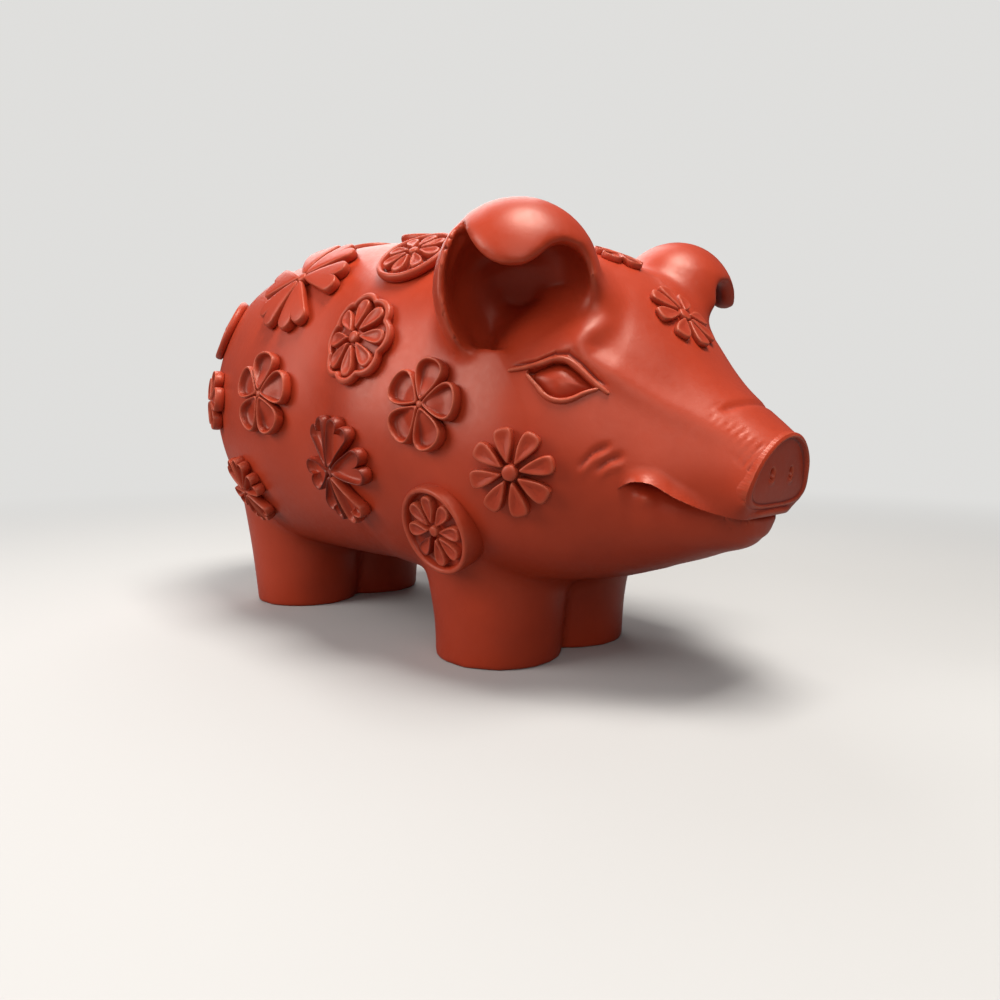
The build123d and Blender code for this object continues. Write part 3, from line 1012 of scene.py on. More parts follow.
@dataclass
class Muzzle:
    """The flat nose with its nostrils, the lip under it and the chin, shaped in the hide."""

    middle: tuple[float, float, float] = (84.2, 0.0, 40.9)
    tilt: float = 14.0
    width: float = 20.2 * MM
    top: float = 7.0 * MM
    foot: float = 6.1 * MM
    taper: float = 0.22
    round_top: float = 2.1
    flat_foot: float = 3.4
    recess: float = 0.9 * MM
    nostril_spacing: float = 6.9 * MM
    nostril_width: float = 0.66 * MM
    nostril_height: float = 0.85 * MM
    nostril_depth: float = 1.4 * MM
    lip_place: float = -6.9 * MM
    lip_side: tuple[float, float] = (0.45, 0.85)
    lip_half: float = 0.75 * MM
    lip_reach: float = 0.25 * MM
    chin_middle: tuple[float, float, float] = (75.3, 0.0, 31.2)
    chin_half: tuple[float, float, float] = (6.4, 8.6, 4.6)

    def seat(self) -> Seat:
        """Finds the middle of the nose's face.

        Returns:
            The seat, with the nose's width along its first axis.
        """
        tilt = math.radians(self.tilt)
        out = Vector((math.cos(tilt), 0, -math.sin(tilt)))
        return Seat.facing(Vector(self.middle) * MM, out, Vector((0, 1, 0)))

    def share(self, along: float, up: float) -> float:
        """Works out how far a place is from the nose's middle.

        Args:
            along: The distance across from the nose's middle.
            up: The distance above it.

        Returns:
            The distance as a share, where 1 is the nose's outline.
        """
        rise = up / (self.top if up > 0 else self.foot)
        across = along / (self.width / 2 * max(1 - self.taper * rise, 0.2))
        power = self.round_top if rise > 0 else self.flat_foot
        return (abs(across) ** power + abs(rise) ** power) ** (1 / power)

    def level(self, along: float, up: float) -> float:
        """Works out the height of the nose's face above its rim at a place.

        Args:
            along: The distance across from the nose's middle.
            up: The distance above it.

        Returns:
            The height in metres.
        """
        share = self.share(along, up)
        deep = self.recess * (0.35 + 0.65 * ease(-0.8 * self.foot, 0.5 * self.top, up))
        floor = -deep + 0.25 * MM * max(1 - (share / 0.8) ** 2, 0)
        level = floor * (1 - ease(0.85, 0.93, share)) - 0.5 * MM * ease(0.94, 1.06, share)
        for side in (-1, 1):
            across = (along - side * self.nostril_spacing / 2) / self.nostril_width
            rise = up / self.nostril_height
            level -= self.nostril_depth * math.exp(-((across * across + rise * rise) ** 2))
            below = (up + 1.35 * MM) / (0.55 * MM)
            level += 0.30 * MM * math.exp(-(across * across / 1.4 + below * below))
        return level

    def lip(self, along: float, up: float) -> float:
        """Works out how far the lip under the nose stands out from the nose's face.

        Args:
            along: The distance across from the nose's middle.
            up: The distance above it.

        Returns:
            The distance in metres.
        """
        away = (up - self.lip_place) / self.lip_half
        aside = along / (self.width / 2)
        return self.lip_reach - 0.55 * MM * away * away - 1.6 * MM * aside ** 4

    def lip_share(self, along: float) -> float:
        """Returns how much of the lip is left at a distance from the middle, none at the sides."""
        return 1 - ease(*self.lip_side, abs(along) / (self.width / 2))

    def fillers(self, bm: bmesh.types.BMesh) -> None:
        """Adds the rough forms behind the nose and of the chin, which the hide grows over.

        Args:
            bm: The bmesh of the solids.
        """
        seat = self.seat()
        outline = []
        for step in range(48):
            turn = math.tau * step / 48
            power = 2 / (self.round_top if step < 24 else self.flat_foot)
            rise = math.copysign(abs(math.sin(turn)) ** power, math.sin(turn))
            across = math.copysign(abs(math.cos(turn)) ** power, math.cos(turn)) * (1 - self.taper * rise)
            high = 1.28 * self.foot if rise < 0 else self.top
            outline.append((across * self.width / 2, rise * high))
        first = bmesh.ops.create_circle(bm, cap_ends=True, segments=len(outline), radius=1.0)["verts"]
        for vert, (along, up) in zip(first, outline):
            vert.co = seat.at(along, up, -0.2 * MM)
        made = bmesh.ops.extrude_face_region(bm, geom=[first[0].link_faces[0]], use_keep_orig=True)["geom"]
        for vert in made:
            if isinstance(vert, bmesh.types.BMVert):
                along, up = seat.flat(vert.co)
                vert.co = seat.at(along * 1.12, up * 0.96, -7 * MM)
        chin = Matrix.Translation(Vector(self.chin_middle) * MM) @ Matrix.Diagonal((*self.chin_half, 1))
        chin = chin @ Matrix.Diagonal((MM, MM, MM, 1))
        bmesh.ops.create_uvsphere(bm, u_segments=40, v_segments=24, radius=1.0, matrix=chin)


@dataclass
class Ear:
    """An ear's hood, whose bowl runs out into the head below and in front."""

    side: str
    middle: tuple[float, float, float] = (45.1, 24.5, 73.1)
    turn: float = 42.0
    nod: float = 6.0
    half_width: float = 14.75 * MM
    half_height: float = 15.25 * MM
    swell: float = 0.40 * MM
    reach: float = 24 * MM
    ramp_middle: tuple[float, float, float] = (0.36, -0.80, -0.26)
    ramp_half: tuple[float, float, float] = (0.70, 0.58, 0.70)

    def seat(self) -> Seat:
        """Finds the ear's middle.

        Returns:
            The seat, facing out of the ear's opening.
        """
        across = -1 if self.side == "right" else 1
        turn, nod = math.radians(self.turn), math.radians(self.nod)
        level = math.cos(nod)
        out = Vector((math.sin(turn) * level, across * math.cos(turn) * level, -math.sin(nod)))
        along = Vector((math.cos(turn), -across * math.sin(turn), 0))
        middle = Vector(self.middle) * MM
        middle.y *= across
        return Seat.facing(middle, out, along)

    def filler(self, bm: bmesh.types.BMesh) -> None:
        """Adds the mound at the bottom of the bowl that lets it run out into the cheek.

        Args:
            bm: The bmesh of the solids.
        """
        seat = self.seat()
        units = Vector((self.half_width, self.half_height, self.half_width))
        directions = (seat.along, seat.up, seat.out)
        axes = [axis * unit * half for axis, unit, half in zip(directions, units, self.ramp_half)]
        turn = Matrix(axes).transposed().to_4x4()
        turn.translation = seat.at(*(unit * place for unit, place in zip(units, self.ramp_middle)))
        bmesh.ops.create_uvsphere(bm, u_segments=40, v_segments=24, radius=1.0, matrix=turn)

    def place(self, seat: Seat, point: Vector) -> tuple[float, float, float]:
        """Works out a point's place in the ear.

        Args:
            seat: The ear's seat.
            point: The point.

        Returns:
            The distances along, up and out, as shares of half width, half height and half width.
        """
        along, up = seat.flat(point)
        out = (point - seat.centre).dot(seat.out)
        return along / self.half_width, up / self.half_height, out / self.half_width

    def runs_out(self, seat: Seat, point: Vector) -> bool:
        """Tells whether a point is where the bowl runs out into the head.

        Args:
            seat: The ear's seat.
            point: The point.

        Returns:
            Whether it is there.
        """
        along, up, out = self.place(seat, point)
        share = math.hypot(along, up)
        below = up < 0.05 and along > -0.55 - 0.5 * up
        return 0.22 < share < 1.42 and below and -1.1 < out < 1.1

    def front_end(self, seat: Seat, point: Vector) -> bool:
        """Returns whether a point is where the hood's edge ends in front."""
        along, up, out = self.place(seat, point)
        return 0.62 < along < 1.25 and -0.25 < up < 0.48 and -0.5 < out < 0.9

    def lip(self, seat: Seat, point: Vector) -> float:
        """Works out how much the hood's wall is thickened at a point.

        Args:
            seat: The ear's seat.
            point: The point.

        Returns:
            The thickness in metres.
        """
        along, up, out = self.place(seat, point)
        share = math.sqrt(along * along + up * up + out * out)
        return self.swell * (1 - ease(1.05, 1.35, share)) * ease(-0.9, -0.2, up + 0.4 * abs(along))


@dataclass
class Hide:
    """The figurine's skin: trunk, head, legs, ears and nose without a seam."""

    muzzle: Muzzle
    ears: Sequence[Ear]
    eyes: Sequence[Eye]
    voxel: float = 0.6 * MM
    closing: float = 0.8 * MM
    soft_passes: int = 4
    joint_passes: int = 16
    joint_reach: float = 2.6 * MM
    mouth_passes: int = 30
    bowl_passes: int = 260
    front_end_passes: int = 40
    snout_passes: int = 24
    chin_passes: int = 50
    ears_start: float = 22 * MM
    head_start: float = 40 * MM
    face_start: float = 58 * MM
    mouth_start: float = 64 * MM
    muzzle_start: float = 76 * MM
    soft_mouth_start: float = 60 * MM
    soft_mouth_band: float = 2.4 * MM
    chin_start: float = 62 * MM
    chin_drop: float = 2.0 * MM
    snout_start: float = 72 * MM
    snout_edge: tuple[float, float] = (-9 * MM, -0.6 * MM)
    wave_height: float = 0.10 * MM
    wave_scale: float = 110.0
    triangles: int = 190_000
    lip_start: tuple[float, float] = (65.2 * MM, 69.5 * MM)
    lip_fade: tuple[float, float] = (71 * MM, 80 * MM)
    lip_edge_start: float = 66 * MM
    lip_flare: float = 1.7 * MM
    lip_height: float = 2.8 * MM
    cheek_flare: float = 0.4 * MM
    cheek_height: float = 7.0 * MM
    jaw_recess: float = 2.7 * MM
    jaw_height: float = 7.5 * MM
    lip_edge: float = 0.16 * MM
    slit_depth: float = 0.9 * MM
    slit_half: float = 0.5 * MM
    pad: tuple[float, float] = (69.0, 36.9)
    pad_height: float = 0.9 * MM
    pad_spread: float = 1.7
    mouth: Outline = (
        (65.0, 38.2), (67.3, 39.6), (69.5, 39.5), (72.7, 37.4),
        (76.3, 35.3), (79.2, 34.1), (82, 33.4), (86, 33.2),
    )
    fold_depth: float = 0.50 * MM
    ruffle_depth: float = 0.15 * MM
    ruffle_pitch: float = 1.15 * MM
    bridge_place: float = 78.4
    bridge_depth: float = 0.40 * MM
    ridge_width: float = 2.3 * MM
    creases: tuple[Outline, ...] = (
        ((60.6, 42.4), (62.3, 44.6), (64.1, 45.6)),
        ((63.0, 42.0), (64.2, 43.2), (65.9, 43.9)),
    )
    brow: tuple[tuple[float, float, float, float], ...] = (
        (59.2, 18.6, 66.0, 0.5),
        (57.9, 21.1, 64.6, 0.9),
        (57.5, 22.7, 62.6, 1.1),
        (59.1, 22.4, 60.3, 1.0),
        (61.9, 20.6, 58.3, 0.8),
        (65.1, 18.6, 55.6, 0.6),
        (69.2, 15.8, 52.8, 0.5),
        (72.8, 13.4, 50.9, 0.45),
        (77.3, 10.8, 48.5, 0.4),
        (81.2, 9.1, 46.4, 0.2),
    )

    def __post_init__(self) -> None:
        """Draws the mouth and the wrinkles as smooth lines."""
        self.mouth_line = Curve(self.mouth)
        self.crease_lines = [Curve(line) for line in self.creases]
        self.brow_points = [(Vector(row[:3]) * MM, row[3] * MM) for row in self.brow]

    def nodes(self) -> list[str]:
        """Returns the solids that the hide stands for, the trunk first and the nose last."""
        limbs = ("leg_front", "leg_rear", "ear_")
        return ["body"] + sorted(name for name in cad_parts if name.startswith(limbs)) + ["nose_plate"]

    def joined(self) -> bmesh.types.BMesh:
        """Grows the solids together into one closed skin.

        Returns:
            The skin.
        """
        bm = bmesh.new()
        for name in self.nodes()[:-1]:
            bm.from_mesh(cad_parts[name].data)
        bmesh.ops.remove_doubles(bm, verts=bm.verts, dist=0.001 * MM)
        self.muzzle.fillers(bm)
        for ear in self.ears:
            ear.filler(bm)
        bmesh.ops.recalc_face_normals(bm, faces=bm.faces)
        rough = placed("rough_hide", mesh_of(bm, "rough_hide"))
        for index, swell in enumerate((self.closing, -self.closing)):
            grown = rough.modifiers.new(f"grown {index}", "REMESH")
            grown.mode = "VOXEL"
            grown.voxel_size = self.voxel
            moved = rough.modifiers.new(f"moved {index}", "DISPLACE")
            moved.mid_level = 0.0
            moved.strength = swell
        bm = bmesh.new()
        bm.from_mesh(shaped(rough))
        bpy.data.objects.remove(rough)
        self._drop_inner_shells(bm)
        return bm

    @staticmethod
    def _drop_inner_shells(bm: bmesh.types.BMesh) -> None:
        """Keeps only the largest shell of the skin.

        Args:
            bm: The skin.
        """
        unseen = set(bm.verts)
        shells = []
        while unseen:
            first = unseen.pop()
            shell, front = [first], [first]
            while front:
                vert = front.pop()
                for edge in vert.link_edges:
                    other = edge.other_vert(vert)
                    if other in unseen:
                        unseen.remove(other)
                        shell.append(other)
                        front.append(other)
            shells.append(shell)
        shells.sort(key=len)
        inner = [vert for shell in shells[:-1] for vert in shell]
        bmesh.ops.delete(bm, geom=inner, context="VERTS")

    def soften(self, bm: bmesh.types.BMesh) -> None:
        """Smooths the skin, most at joints, at mouth and chin and where the bowls run out.

        Args:
            bm: The skin.
        """
        trunk = self._tree_of(["body"])
        limbs = self._tree_of(self.nodes()[1:-1])
        seats = [ear.seat() for ear in self.ears]
        nose = self.muzzle.seat()
        joints, mouth, bowls, ends, snout, chin = [], [], [], [], [], []
        for vert in bm.verts:
            point = vert.co
            if limbs.find_nearest(point, self.joint_reach)[0] is not None:
                if trunk.find_nearest(point, self.joint_reach)[0] is not None:
                    joints.append(vert)
            if point.x > self.soft_mouth_start and abs(self.above_mouth(point)) < self.soft_mouth_band:
                mouth.append(vert)
            if point.x > self.snout_start and self._round_nose(nose, point):
                snout.append(vert)
            if point.x > self.chin_start and self.above_mouth(point) < -self.chin_drop:
                chin.append(vert)
            for ear, seat in zip(self.ears, seats):
                if (point - seat.centre).length < ear.reach:
                    if ear.runs_out(seat, point):
                        bowls.append(vert)
                    if ear.front_end(seat, point):
                        ends.append(vert)
        self._smooth(bm, joints, self.joint_passes)
        self._smooth(bm, mouth, self.mouth_passes)
        self._smooth(bm, bowls, self.bowl_passes)
        self._smooth(bm, ends, self.front_end_passes)
        self._smooth(bm, snout, self.snout_passes)
        self._smooth(bm, chin, self.chin_passes)
        self._smooth(bm, bm.verts, self.soft_passes)

    def _round_nose(self, seat: Seat, point: Vector) -> bool:
        """Tells whether a point is behind the edge of the nose, where the snout runs into it.

        Args:
            seat: The nose's seat.
            point: The point.

        Returns:
            Whether it is there.
        """
        along, up = seat.flat(point)
        out = (point - seat.centre).dot(seat.out)
        return self.snout_edge[0] < out < self.snout_edge[1] and self.muzzle.share(along, up) > 0.9

    @staticmethod
    def _tree_of(names: Sequence[str]) -> BVHTree:
        """Returns a search tree over these solids."""
        return search_tree(*(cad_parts[name].data for name in names))

    @staticmethod
    def _smooth(bm: bmesh.types.BMesh, verts: Sequence[bmesh.types.BMVert], passes: int) -> None:
        """Smooths some points.

        Args:
            bm: The skin.
            verts: The points.
            passes: How often they are smoothed.
        """
        every_way = {"use_axis_x": True, "use_axis_y": True, "use_axis_z": True}
        for _ in range(passes):
            bmesh.ops.smooth_vert(bm, verts=verts, factor=0.5, **every_way)

    def mouth_height(self, x: float) -> float:
        """Returns the height of the mouth line at a place along the snout."""
        return self.mouth_line.at(x / MM) * MM

    def above_mouth(self, point: Vector) -> float:
        """Measures a point's height above the mouth line, square to the line.

        Args:
            point: The point.

        Returns:
            The height in metres, below 0 under the line.
        """
        step = 0.4 * MM
        slope = (self.mouth_height(point.x + step) - self.mouth_height(point.x - step)) / (2 * step)
        return (point.z - self.mouth_height(point.x)) / math.hypot(1, slope)

    def refine(self, bm: bmesh.types.BMesh) -> None:
        """Divides the faces finely where the mouth, eyes and nose are cut.

        Args:
            bm: The skin.
        """
        seats = [eye.seat() for eye in self.eyes]
        nose = self.muzzle.seat()
        for mouth_band, eye_share in ((3.2 * MM, 1.0), (1.2 * MM, 0.9)):
            chosen = set()
            for vert in bm.verts:
                point = vert.co
                if point.x < self.head_start:
                    continue
                in_mouth = point.x > self.mouth_start and abs(self.above_mouth(point)) < mouth_band
                in_nose = point.x > 78 * MM and self._on_nose(nose, point, 1.15 * eye_share)
                in_eye = any(eye.near(seat, point, eye_share) for eye, seat in zip(self.eyes, seats))
                if in_mouth or in_nose or in_eye:
                    chosen.add(vert)
            edges = [edge for edge in bm.edges if edge.verts[0] in chosen and edge.verts[1] in chosen]
            bmesh.ops.subdivide_edges(bm, edges=edges, cuts=1, use_grid_fill=True, smooth=0.0)

    def _on_nose(self, seat: Seat, point: Vector, reach: float) -> bool:
        """Returns whether a point is on the face of the nose."""
        along, up = seat.flat(point)
        return abs((point - seat.centre).dot(seat.out)) < 2.6 * MM and self.muzzle.share(along, up) < reach

    def carve(self, bm: bmesh.types.BMesh) -> None:
        """Cuts the mouth, nose, eye sockets and wrinkles and leaves the soft waves of hand work.

        Args:
            bm: The skin.
        """
        eye_seats = [eye.seat() for eye in self.eyes]
        ear_seats = [ear.seat() for ear in self.ears]
        nose = self.muzzle.seat()
        bm.normal_update()
        moves = []
        for vert in bm.verts:
            point, normal = vert.co.copy(), vert.normal
            lift = self.wave_height * noise.noise(point * self.wave_scale)
            if point.x > self.ears_start:
                for ear, seat in zip(self.ears, ear_seats):
                    if (point - seat.centre).length < ear.reach:
                        lift += ear.lip(seat, point)
            if point.x > self.head_start:
                point = self._on_lip_edge(point, normal)
                lift += self._lips(point, normal) + self._brow(point) - self._wrinkles(point, normal)
                for eye, seat in zip(self.eyes, eye_seats):
                    if (point - seat.centre).length < eye.reach and normal.dot(seat.out) > 0.3:
                        along, up = seat.flat(point)
                        lift -= eye.socket(along, up) + eye.crease(along, up)
            if point.x > self.muzzle_start and normal.dot(nose.out) > 0.2:
                moves.append(self._muzzled(nose, point, point + normal * lift))
            else:
                moves.append(point + normal * lift)
        for vert, place in zip(bm.verts, moves):
            vert.co = place
            vert.co.z = max(place.z, 0.0)

    def _muzzled(self, seat: Seat, point: Vector, place: Vector) -> Vector:
        """Moves a point at the front of the muzzle into the nose's face or the lip under it.

        Args:
            seat: The nose's seat.
            point: The point before it is carved.
            place: Where the other carving puts it.

        Returns:
            Where it goes.
        """
        along, up = seat.flat(point)
        if self._on_nose(seat, point, 1.02):
            return seat.at(along, up, self.muzzle.level(along, up))
        out = (place - seat.centre).dot(seat.out)
        lip = self.muzzle.lip(along, up)
        if up < 0 and lip > out and self.above_mouth(point) > 0:
            return place + seat.out * (lip - out) * self.muzzle.lip_share(along)
        return place

    def _on_lip_edge(self, point: Vector, normal: Vector) -> Vector:
        """Moves a point near the mouth line to the edge of the lip or of the jaw.

        Args:
            point: The point on the skin.
            normal: The skin's direction there.

        Returns:
            The point's new place, or the same for any other point.
        """
        if point.x < self.lip_edge_start:
            return point
        above = self.above_mouth(point)
        if abs(above) > self.lip_edge:
            return point
        rise = (Vector((0, 0, 1)) - normal * normal.z).normalized()
        return point + rise * (math.copysign(self.lip_edge, above) - above)

    def _lips(self, point: Vector, normal: Vector) -> float:
        """Works out how far the lip stands out, or the jaw lies back, at a point.

        Args:
            point: The point on the skin.
            normal: The skin's direction there.

        Returns:
            The distance in metres, below 0 where the jaw lies back.
        """
        if point.x < self.mouth_start:
            return 0.0
        above = self.above_mouth(point)
        start = ease(*self.lip_start, point.x)
        front = 1 - 0.85 * ease(0.60, 0.92, normal.x)
        if above > 0:
            front *= 1 - 0.8 * ease(*self.lip_fade, point.x)
            edge = self.lip_flare * max(1 - above / self.lip_height, 0) ** 2
            cheek = self.cheek_flare * max(1 - above / self.cheek_height, 0) ** 2
            return (edge + cheek) * start * front
        across, rise = point.x / MM - self.pad[0], point.z / MM - self.pad[1]
        pad = self.pad_height * math.exp(-(across * across + rise * rise) / self.pad_spread)
        slit = self.slit_depth * math.exp(-((above / self.slit_half) ** 2))
        recess = self.jaw_recess * max(1 + above / self.jaw_height, 0) ** 1.5 * front
        return (pad - slit - recess) * start

    def _brow(self, point: Vector) -> float:
        """Works out how far the ridge from the ear over the eye to the nose stands out.

        Args:
            point: The point.

        Returns:
            The ridge's height at the point, in metres.
        """
        place = Vector((point.x, abs(point.y), point.z))
        best = 0.0
        for (start, first), (end, last) in zip(self.brow_points, self.brow_points[1:]):
            way = end - start
            share = min(max((place - start).dot(way) / way.length_squared, 0.0), 1.0)
            away = (place - start - way * share).length
            best = max(best, (first + (last - first) * share) * math.exp(-((away / self.ridge_width) ** 2)))
        return best

    def _wrinkles(self, point: Vector, normal: Vector) -> float:
        """Works out how deep the wrinkles by the mouth and over the snout are.

        Args:
            point: The point on the skin.
            normal: The skin's direction there.

        Returns:
            The depth at the point, in metres.
        """
        depth = 0.0
        if 58 * MM < point.x < 68 * MM and abs(normal.y) > 0.4:
            for line in self.crease_lines:
                x = point.x / MM
                first, last = line.xs[0], line.xs[-1]
                ends = ease(first - 0.8, first + 0.8, x) * (1 - ease(last - 0.8, last + 0.8, x))
                away = point.z / MM - line.at(x)
                fold = math.exp(-((away / 0.65) ** 2)) - 0.5 * math.exp(-(((away + 1.3) / 0.9) ** 2))
                depth += self.fold_depth * ends * fold
        if point.x > 74 * MM and normal.z > 0.25:
            across = abs(point.y) / MM
            over = math.exp(-(((point.x / MM - self.bridge_place + 0.02 * across * across) / 0.6) ** 2))
            depth += self.bridge_depth * over * (1 - ease(6.5, 9.5, across))
            lines = 0.5 + 0.5 * math.sin(math.tau * (0.8 * point.x - 0.45 * point.z) / self.ruffle_pitch)
            lines *= 0.5 + noise.noise(point * 420)
            beside = ease(6.5, 8.0, across) * (1 - ease(10.0, 11.5, across))
            depth += self.ruffle_depth * lines * beside * ease(75, 76.5, point.x / MM)
        return depth

    def thinned(self, obj: bpy.types.Object) -> bpy.types.Mesh:
        """Thins out the skin's faces, but not on the face and round the eyes.

        Args:
            obj: The hide.

        Returns:
            The thinner mesh.
        """
        seats = [eye.seat() for eye in self.eyes]
        plain = []
        for vert in obj.data.vertices:
            in_eye = any(eye.near(seat, vert.co, 1.0) for eye, seat in zip(self.eyes, seats))
            if vert.co.x < self.face_start and not in_eye:
                plain.append(vert.index)
        group = obj.vertex_groups.new(name="plain skin")
        group.add(plain, 1.0, "REPLACE")
        triangles = sum(len(face.vertices) - 2 for face in obj.data.polygons)
        LOG.info("hide: thinned from %d triangles", triangles)
        thin = obj.modifiers.new("thin", "DECIMATE")
        thin.ratio = min(self.triangles / triangles, 1.0)
        thin.vertex_group = group.name
        mesh = shaped(obj)
        obj.modifiers.clear()
        obj.vertex_groups.clear()
        return mesh

    def build(self) -> tuple[bpy.types.Object, Surface]:
        """Models the hide.

        Returns:
            The hide, and its surface before mouth and eyes were cut.
        """
        bm = self.joined()
        self.soften(bm)
        plain = Surface(BVHTree.FromBMesh(bm))
        self.refine(bm)
        self.carve(bm)
        obj = placed("hide", mesh_of(bm, "hide"))
        obj.data = self.thinned(obj)
        for polygon in obj.data.polygons:
            polygon.use_smooth = True
        return obj, plain


@dataclass
class Tail:
    """The small tail, curled flat on the rump."""

    thick: float = 2.0 * MM
    turns: float = 1.15
    points: int = 14

    def build(self, skin: Surface) -> bpy.types.Mesh:
        """Models the tail as a tapered roll.

        Args:
            skin: The finished skin.

        Returns:
            The tail's mesh.
        """
        low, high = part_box("tail")
        middle = (low + high) / 2
        seat = Seat.facing(middle, Vector((-1, 0, 0)), Vector((0, 1, 0)))
        radius = (high.y - low.y) / 2 - self.thick
        points = []
        for step in range(self.points):
            share = step / (self.points - 1)
            turn = math.pi / 2 - 2 * math.pi * self.turns * share
            reach = radius * (1 - 0.55 * share)
            points.append((reach * math.cos(turn), reach * math.sin(turn), 1.0 - 0.6 * share))
        bm = rolled(points, self.thick, resolution=12)
        for vert in bm.verts:
            vert.co.z += 0.4 * self.thick
        skin.lay(seat, bm)
        return mesh_of(bm, "tail")


@dataclass
class Studio:
    """The pale floor, the soft lamps and the camera."""

    camera_place: tuple[float, float, float] = (143.235, -127.7, 50.0)
    camera_yaw: float = 134.9
    camera_pitch: float = -5.86
    lens: float = 28.08
    floor_radius: float = 4.0
    floor_seen: tuple[float, float, float] = (0.54, 0.535, 0.525)
    floor_bounce: tuple[float, float, float] = (0.22, 0.215, 0.21)
    floor_fade: tuple[float, float] = (0.10, 0.45)
    wall: tuple[float, float, float] = (0.74, 0.735, 0.72)
    room_light: float = 0.11
    aim: tuple[float, float, float] = (0.0, 0.0, 0.045)

    def build(self) -> None:
        """Sets up everything around the figurine."""
        self._floor()
        self._world()
        self._lamp("key", (0.13, -0.02, 0.50), 0.20, 2.8, (1.0, 0.965, 0.92))
        self._lamp("side fill", (-0.22, -0.50, 0.30), 0.36, 2.3, (1.0, 0.98, 0.96))
        self._lamp("front fill", (0.36, -0.30, 0.28), 0.30, 0.65, (1.0, 0.98, 0.96))
        self._lamp("back light", (-0.35, 0.20, 0.42), 0.40, 1.6, (1.0, 0.98, 0.96))
        self._camera()
        bpy.context.scene.view_settings.view_transform = "Standard"

    def _floor(self) -> None:
        """Lays the floor."""
        bm = bmesh.new()
        bmesh.ops.create_circle(bm, cap_ends=True, segments=96, radius=self.floor_radius)
        floor = placed("floor", mesh_of(bm, "floor"))
        material = bpy.data.materials.new("pale floor")
        material.use_nodes = True
        shader = material.node_tree.nodes["Principled BSDF"]
        shader.inputs["Roughness"].default_value = 0.85
        shader.inputs["Specular IOR Level"].default_value = 0.2
        self._fade(material)
        floor.data.materials.append(material)

    def _fade(self, material: bpy.types.Material) -> None:
        """Paints the floor pale, throwing little light back, and lets it run out into the wall's colour.

        Args:
            material: The floor's material.
        """
        nodes, links = material.node_tree.nodes, material.node_tree.links
        place = nodes.new("ShaderNodeTexCoord")
        length = nodes.new("ShaderNodeVectorMath")
        length.operation = "LENGTH"
        links.new(place.outputs["Object"], length.inputs[0])
        far = nodes.new("ShaderNodeMapRange")
        far.interpolation_type = "SMOOTHSTEP"
        far.inputs["From Min"].default_value, far.inputs["From Max"].default_value = self.floor_fade
        links.new(length.outputs["Value"], far.inputs["Value"])
        path = nodes.new("ShaderNodeLightPath")
        paint = nodes.new("ShaderNodeMix")
        paint.data_type = "RGBA"
        links.new(path.outputs["Is Camera Ray"], paint.inputs[0])
        paint.inputs[6].default_value = (*self.floor_bounce, 1)
        paint.inputs[7].default_value = (*self.floor_seen, 1)
        links.new(paint.outputs[2], nodes["Principled BSDF"].inputs["Base Color"])
        seen = nodes.new("ShaderNodeMath")
        seen.operation = "MULTIPLY"
        links.new(far.outputs["Result"], seen.inputs[0])
        links.new(path.outputs["Is Camera Ray"], seen.inputs[1])
        wall = nodes.new("ShaderNodeEmission")
        wall.inputs["Color"].default_value = (*self.wall, 1)
        mix = nodes.new("ShaderNodeMixShader")
        links.new(seen.outputs[0], mix.inputs["Fac"])
        links.new(nodes["Principled BSDF"].outputs["BSDF"], mix.inputs[1])
        links.new(wall.outputs["Emission"], mix.inputs[2])
        links.new(mix.outputs["Shader"], nodes["Material Output"].inputs["Surface"])

    def _world(self) -> None:
        """Makes the even light of the room, which shows as a pale wall."""
        world = bpy.data.worlds.new("room")
        world.use_nodes = True
        nodes, links = world.node_tree.nodes, world.node_tree.links
        light = nodes["Background"]
        light.inputs["Color"].default_value = (0.95, 0.97, 1.0, 1)
        light.inputs["Strength"].default_value = self.room_light
        wall = nodes.new("ShaderNodeBackground")
        wall.inputs["Color"].default_value = (*self.wall, 1)
        path = nodes.new("ShaderNodeLightPath")
        mix = nodes.new("ShaderNodeMixShader")
        links.new(path.outputs["Is Camera Ray"], mix.inputs["Fac"])
        links.new(light.outputs["Background"], mix.inputs[1])
        links.new(wall.outputs["Background"], mix.inputs[2])
        links.new(mix.outputs["Shader"], nodes["World Output"].inputs["Surface"])
        bpy.context.scene.world = world

    def _lamp(self, name: str, place: tuple[float, float, float], size: float, power: float,
              colour: tuple[float, float, float]) -> None:
        """Hangs a soft square lamp that faces the figurine.

        Args:
            name: The lamp's name.
            place: Where it hangs, in metres.
            size: Its side in metres.
            power: Its power in watts.
            colour: Its light's colour.
        """
        light = bpy.data.lights.new(name, "AREA")
        light.size = size
        light.energy = power
        light.color = colour
        lamp = placed(name, light)
        lamp.location = place
        aim = Vector(self.aim) - Vector(place)
        lamp.rotation_euler = aim.to_track_quat("-Z", "Y").to_euler()

    def _camera(self) -> None:
        """Places the camera where the figurine is seen from."""
        camera = bpy.data.cameras.new("view")
        camera.lens = self.lens
        camera.sensor_width = 36.0
        camera.sensor_fit = "HORIZONTAL"
        camera.clip_start = 0.005
        camera.clip_end = 50.0
        holder = placed("view", camera)
        holder.location = Vector(self.camera_place) * MM
        yaw, pitch = math.radians(self.camera_yaw), math.radians(self.camera_pitch)
        ahead = Vector((math.cos(yaw) * math.cos(pitch), math.sin(yaw) * math.cos(pitch), math.sin(pitch)))
        holder.rotation_euler = ahead.to_track_quat("-Z", "Y").to_euler()
        bpy.context.scene.camera = holder


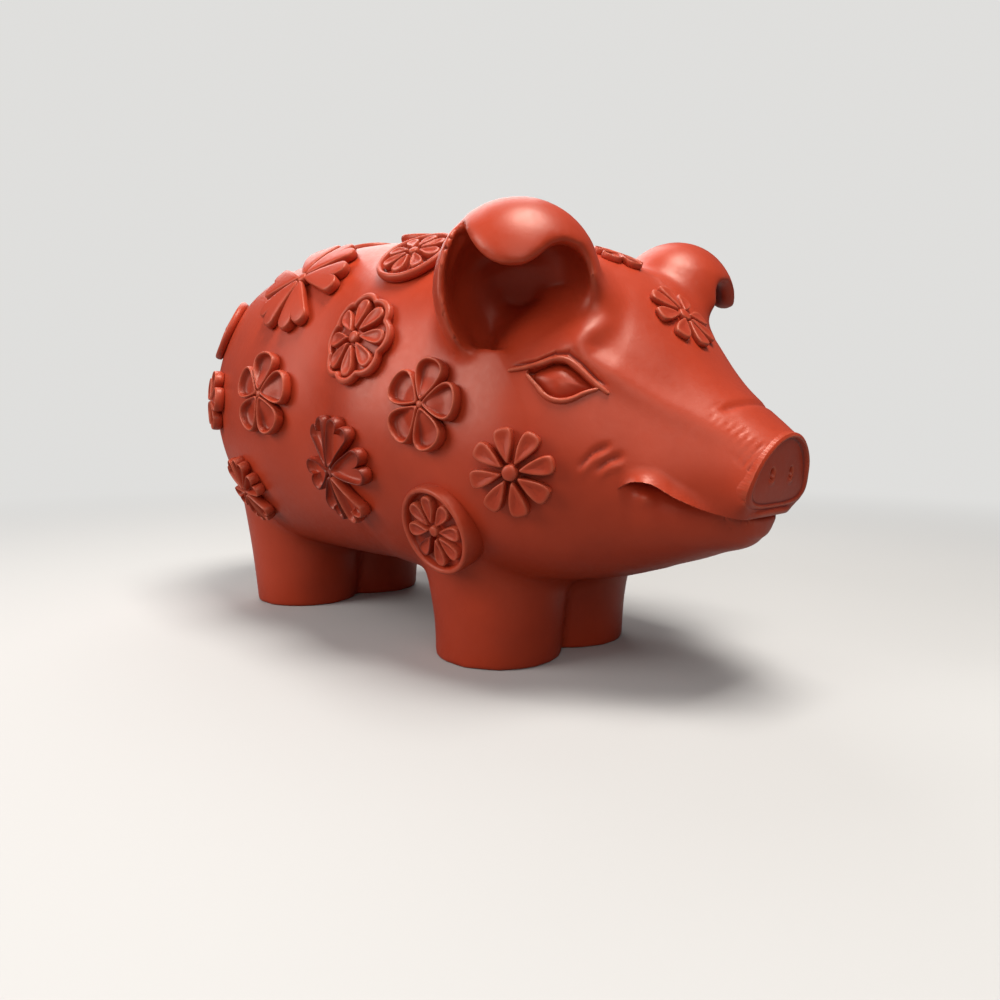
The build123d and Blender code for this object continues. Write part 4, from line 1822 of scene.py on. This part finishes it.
class Figurine:
    """The whole pig: its pieces, each dressed in its finish."""

    turns = {
        "haunch_heart_flower": 0.0,
        "flank_heart_flower": 8.0,
        "thigh_heart_flower": 20.0,
        "shoulder_plum_blossom": 5.0,
        "haunch_plum_blossom": 12.0,
        "cheek_daisy": 10.0,
    }
    lifts = {"crown_plum_blossom": 0.5, "forehead_daisy": 0.5}
    cups = {"flank_heart_flower": 1.0, "thigh_heart_flower": 1.0}

    def __init__(self) -> None:
        """Makes the finishes."""
        groups = NodeGroups()
        finishes = (SKIN_FINISH, EYE_FINISH, SPRIG_FINISH)
        self.materials = {finish.slot: finish.material(groups) for finish in finishes}

    def dress(self, obj: bpy.types.Object, finish: Cinnabar, nodes: Sequence[str], levels: int = 0) -> None:
        """Finishes a piece and joins it to the frame.

        Args:
            obj: The piece.
            finish: Its finish.
            nodes: The solids that it stands for.
            levels: How often its faces are subdivided.
        """
        mark_relief(obj.data)
        obj.data.materials.clear()
        obj.data.materials.append(self.materials[finish.slot])
        if levels:
            rounded = obj.modifiers.new("rounded", "SUBSURF")
            rounded.levels = levels
            rounded.render_levels = levels
        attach(obj, "root")
        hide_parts(*nodes)
        LOG.info("%s: %d faces", obj.name, len(obj.data.polygons))

    def build(self) -> None:
        """Builds every piece."""
        eyes = [Eye(side) for side in SIDES]
        hide = Hide(Muzzle(), [Ear(side) for side in SIDES], eyes)
        skin, plain = hide.build()
        self.dress(skin, SKIN_FINISH, hide.nodes())
        finished = Surface(search_tree(skin.data))
        self.dress(placed("curled_tail", Tail().build(finished)), SKIN_FINISH, ["tail"])
        for eye in eyes:
            self._eye(eye, plain)
        for node in sorted(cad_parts):
            if any(form.value in node for form in Form):
                self._sprig(node, finished)

    def _eye(self, eye: Eye, plain: Surface) -> None:
        """Builds an eye's ball and lids.

        Args:
            eye: The eye.
            plain: The skin before the socket is cut.
        """
        ball = placed(f"eyeball_{eye.side}", eye.ball(plain, "eyeball"))
        self.dress(ball, EYE_FINISH, [f"eye_{eye.side}"], levels=2)
        lids = (("upper", eye.upper, eye.upper_roll), ("lower", eye.lower, eye.lower_roll))
        for part, line, thick in lids:
            lid = placed(f"{part}_lid_{eye.side}", eye.roll(line, thick, plain, f"{part}_lid"))
            self.dress(lid, EYE_FINISH, [f"{part}_eyelid_{eye.side}"], levels=1)

    def _sprig(self, node: str, finished: Surface) -> None:
        """Builds one flower.

        Args:
            node: The flower's solid.
            finished: The finished skin.
        """
        kind = node.removesuffix("_right").removesuffix("_left")
        sprig = Sprig(node, self.turns.get(kind, 0.0), self.lifts.get(kind, 1.0), self.cups.get(kind, 0.0))
        flower = placed(f"{node}_sprig", sprig.build(finished))
        self.dress(flower, SPRIG_FINISH, [node], levels=1)


def main() -> None:
    """Builds the figurine and its studio, logging the pieces' face counts."""
    logging.basicConfig(level=logging.INFO)
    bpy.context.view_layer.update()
    Figurine().build()
    Studio().build()


if __name__ == "__main__":
    main()
